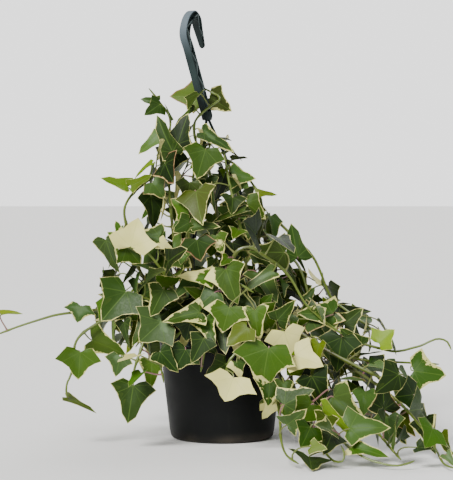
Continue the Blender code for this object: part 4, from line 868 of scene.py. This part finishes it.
def build_soil(look):
    """The root ball's sides, and a crumbly top: a low dome plus sines of several lengths."""
    foot, edge, dome, crumb = 2.4 * MM, SOIL_TOP - 2.2 * MM, 1.4 * MM, 0.55 * MM
    brim, bend = soil_radius(edge), 7 * MM
    profile = [
        (2 * MM, foot), (soil_radius(0) - 5 * MM, foot), (soil_radius(bend), bend), (brim, edge)]
    profile += [(brim * s, edge + dome * (1 - s**2)) for s in np.linspace(1, 0.04, 26)[1:]]
    points, quads, caps = turned(profile, POT_SIDES)
    x, y, top = points[:, 0] / MM, points[:, 1] / MM, points[:, 2] > edge + 0.01 * MM
    crumbs = (0.5 * np.sin(0.31 * x + 1.3) * np.cos(0.27 * y) + 0.45 * np.sin(0.83 * x + 0.6 * y)
              * np.sin(0.71 * y + 2) + 0.4 * np.sin(1.9 * x) * np.sin(2.1 * y + 0.4))
    points[:, 2] += np.where(top, crumb * crumbs, 0)
    soil = add_piece("potting_mix", points, [quads, caps], look, None, 60)
    belongs(soil, "potting_mix", "soil")


# ---------------------------------------------------------------- hanger


def swept(path, outline, sizes, plane_normal):
    """An outline of (across, in plane) carried along a path in a plane, scaled by the sizes.

    The point at (i, k) is path(i) + size(i) (a(k) n + b(k) (t(i) x n)), n the plane's normal and
    t the path's direction, with both ends closed."""
    tangents = unit(np.gradient(path, axis=0))
    side = unit(plane_normal - (tangents @ plane_normal)[:, None] * tangents)
    depth = np.cross(tangents, side)
    outline = np.asarray(outline)
    rings = path[:, None] + sizes[:, None, None] * (
        outline[:, :1] * side[:, None] + outline[:, 1:] * depth[:, None])
    around = len(outline)
    points = rings.reshape(-1, 3)
    last = (len(path) - 1) * around
    caps = [list(range(around))[::-1], list(range(last, last + around))]
    return points, ring_faces(len(path), around), caps


def beam_outline():
    """The hook's I section with rounded flanges, counter-clockwise."""
    wide, deep, flange, web = BEAM_HALF_WIDTH, BEAM_HALF_DEPTH, 1.5 * MM, 0.8 * MM
    inner, soft = deep - flange, 0.5 * MM
    corner = [
        (wide - soft, -deep), (wide, -deep + soft),
        (wide, -inner - 0.3 * MM), (wide - 0.4 * MM, -inner),
        (web + 0.6 * MM, -inner + 0.1 * MM), (web, -inner + 0.7 * MM),
    ]
    right = corner + [(a, -b) for a, b in corner[::-1]]
    return right + [(-a, -b) for a, b in right]


def build_hanger(look):
    """The clip-on hanger: a leaning I-beam shaft and hook with slanted ribs in its web, the hub,
    three bowed legs, and the clips that grip the rim."""
    across = np.array((math.cos(HOOK_YAW), math.sin(HOOK_YAW), 0.0))
    plane_normal = np.cross((0, 0, 1), across)
    arch = [SHAFT_TOP + (across * out + np.array((0, 0, up))) * MM for out, up in HOOK_ARCH]
    shaft = [HUB + (SHAFT_TOP - HUB) * s for s in np.linspace(0, 1, 7)[:-1]]
    path = smooth_path(shaft + arch, 1.5 * MM)
    run = along(path)
    taper = (run[-1] - HOOK_TAPER_LENGTH, run[-1] - 2 * MM, run[-1])
    sizes = np.interp(run, taper, (1, HOOK_TAPER, 0.3))
    outline = beam_outline()
    pieces = [swept(path, outline, sizes, plane_normal)]
    # the outer flange's points, which take the painted highlight toward the top of the hook
    on_outer_flange = [(float(b > BEAM_HALF_DEPTH - 0.6 * MM), 0.0, 0.0) for _, b in outline]
    painted_highlight = [np.tile(on_outer_flange, (len(path), 1))]
    depths = np.cross(unit(np.gradient(path, axis=0)), plane_normal)
    wide, thin = RIB_HALF_WIDTH, RIB_HALF_THICKNESS
    rib_outline = [(-wide, -thin), (wide, -thin), (wide, thin), (-wide, thin)]
    for k in range(FIRST_RIB, len(path) - 2 * RIB_REACH, 2 * RIB_REACH):
        lean = 1 if (k // (2 * RIB_REACH)) % 2 else -1
        reach = (BEAM_HALF_DEPTH - 1.0 * MM) * sizes[k] * lean
        low, high = k - RIB_REACH, k + RIB_REACH
        line = np.linspace(path[low] - depths[low] * reach, path[high] + depths[high] * reach, 3)
        rib = swept(line, rib_outline, np.full(3, sizes[k]), plane_normal)
        pieces.append(rib)
        # the rib's points, which are painted lighter as a highlight
        painted_highlight.append(np.tile((0.0, 1.0, 0.0), (len(rib[0]), 1)))
    hub_half = ((0.3, 4.5), (0.72, 4.5), (0.86, 4), (1, 1))
    hub_profile = [(HUB_RADIUS * a, -h * MM) for a, h in hub_half]
    hub_profile += [(HUB_RADIUS * a, h * MM) for a, h in hub_half[::-1]]
    points, quads, caps = turned(hub_profile, HUB_SIDES)
    pieces.append((points + HUB, quads, caps))
    leg_rows = 34
    for azimuth in LEG_AZIMUTHS:
        angle = math.radians(azimuth)
        outward = np.array((math.cos(angle), math.sin(angle), 0.0))
        end = outward * (RIM_RADIUS - 2.5 * MM) + np.array((0, 0, POT_HEIGHT + 1.5 * MM))
        share = np.linspace(0, 1, leg_rows)[:, None]
        leg = HUB * (1 - share) + end * share + outward * LEG_BOW * np.sin(math.pi * share)
        pieces.append(tubes(leg[None], np.full((1, leg_rows), LEG_RADIUS), LEG_SIDES)[:3])
        pieces.append(clip_shape(outward))
    points, faces = [], []
    for piece_points, quads, caps in pieces:
        start = sum(map(len, points))
        points.append(piece_points)
        faces += [[[start + k for k in face] for face in block] for block in (quads, caps)]
    points, painted_highlight = np.vstack(points), np.vstack(painted_highlight)
    painted_highlight = np.vstack([painted_highlight, np.zeros((len(points) - len(painted_highlight), 3))])
    hanger = add_piece("clip_on_hanger", points, faces, look, {"painted_highlight": painted_highlight}, 38)
    belongs(hanger, "hanger_plastic", "hanger")


def clip_shape(outward):
    """A clip over the rim: its (outward, up) outline with softened corners, through its width."""
    inside = pot_inner_radius(POT_HEIGHT - 7 * MM) - RIM_RADIUS - 0.5 * MM
    barb, wall, room = -RIM_SKIRT - 0.5 * MM, 2 * MM, 0.5 * MM
    outline = np.array([
        (inside - wall, -7 * MM), (inside, -7 * MM), (inside, room), (room, room), (room, barb),
        (-1 * MM, barb), (-1 * MM, barb - wall * 0.6), (room + wall * 0.5, barb - wall),
        (room + wall, barb - wall * 0.5), (room + wall, room + wall * 0.5),
        (room + wall * 0.5, room + wall),
        (inside - wall * 0.5, room + wall), (inside - wall, room + wall * 0.5)])
    sideways = np.cross((0, 0, 1), outward)
    layers = []
    for side in (-CLIP_WIDTH / 2, CLIP_WIDTH / 2):
        layers.append(outward * (RIM_RADIUS + outline[:, :1]) + sideways * side
                      + np.array((0, 0, 1)) * (POT_HEIGHT + outline[:, 1:]))
    count = len(outline)
    caps = [list(range(count)), list(range(count, 2 * count))[::-1]]
    return np.vstack(layers), ring_faces(2, count)[:, ::-1], caps


# ---------------------------------------------------------------- stage


def build_stage():
    """A wide pale floor, soft lights and the camera."""
    size, gap = 40.0, 0.3 * MM
    corners = np.array([(-size, -size, 0), (size, -size, 0), (size, size, 0), (-size, size, 0)])
    floor = add_piece("floor", corners - (0, 0, gap), [[(0, 1, 2, 3)]], floor_material())
    world = bpy.data.worlds.new("studio")
    bpy.context.scene.world = world
    world.use_nodes = True
    nodes, links = world.node_tree.nodes, world.node_tree.links
    sky, path = nodes["Background"], nodes.new("ShaderNodeLightPath")
    sky.inputs[0].default_value = (1.0, 1.0, 1.0, 1.0)
    strength = nodes.new("ShaderNodeMapRange")
    # how strongly it lights the plant, and how bright it shows behind it
    strength.inputs["To Min"].default_value = 0.17
    strength.inputs["To Max"].default_value = 2.0
    links.new(path.outputs["Is Camera Ray"], strength.inputs["Value"])
    links.new(strength.outputs[0], sky.inputs[1])
    for name, place, softness, power, colour in (
        ("key_light", (-1.1, -1.5, 1.6), 25, 5.1, (1.0, 0.985, 0.96)),
        ("fill_light", (1.6, -0.9, 0.8), 60, 0.4, (0.96, 0.98, 1.0)),
        ("back_light", (0.6, 1.4, 1.4), 50, 1.5, (1.0, 1.0, 1.0)),
    ):
        light = bpy.data.lights.new(name, "SUN")
        light.angle, light.energy, light.color = math.radians(softness), power, colour
        lamp = bpy.data.objects.new(name, light)
        aim(lamp, place, (0, 0, 0))
        bpy.context.scene.collection.objects.link(lamp)
    view = bpy.data.cameras.new("front_view")
    view.lens, view.sensor_width = 120, 36
    camera = bpy.data.objects.new("front_view", view)
    aim(camera, VIEW_FROM, VIEW_AT)
    bpy.context.scene.collection.objects.link(camera)
    bpy.context.scene.camera = camera


def aim(thing, place, target):
    """Puts a light or camera at a place, looking at a target, upright."""
    thing.location = place
    thing.rotation_euler = (Vector(target) - Vector(place)).to_track_quat("-Z", "Y").to_euler()


def build_plant():
    """The stage, the made pieces, and the finer form of every vine in the frame."""
    build_stage()
    build_pot(pot_material())
    build_soil(soil_material())
    build_hanger(hanger_material())
    leaf_look, stem_look = leaf_material(), stem_material()
    for name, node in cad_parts.items():
        if name.startswith("vine_"):
            build_vine(name.removeprefix("vine_"), node, leaf_look, stem_look)


build_plant()

bpy.context.view_layer.update()
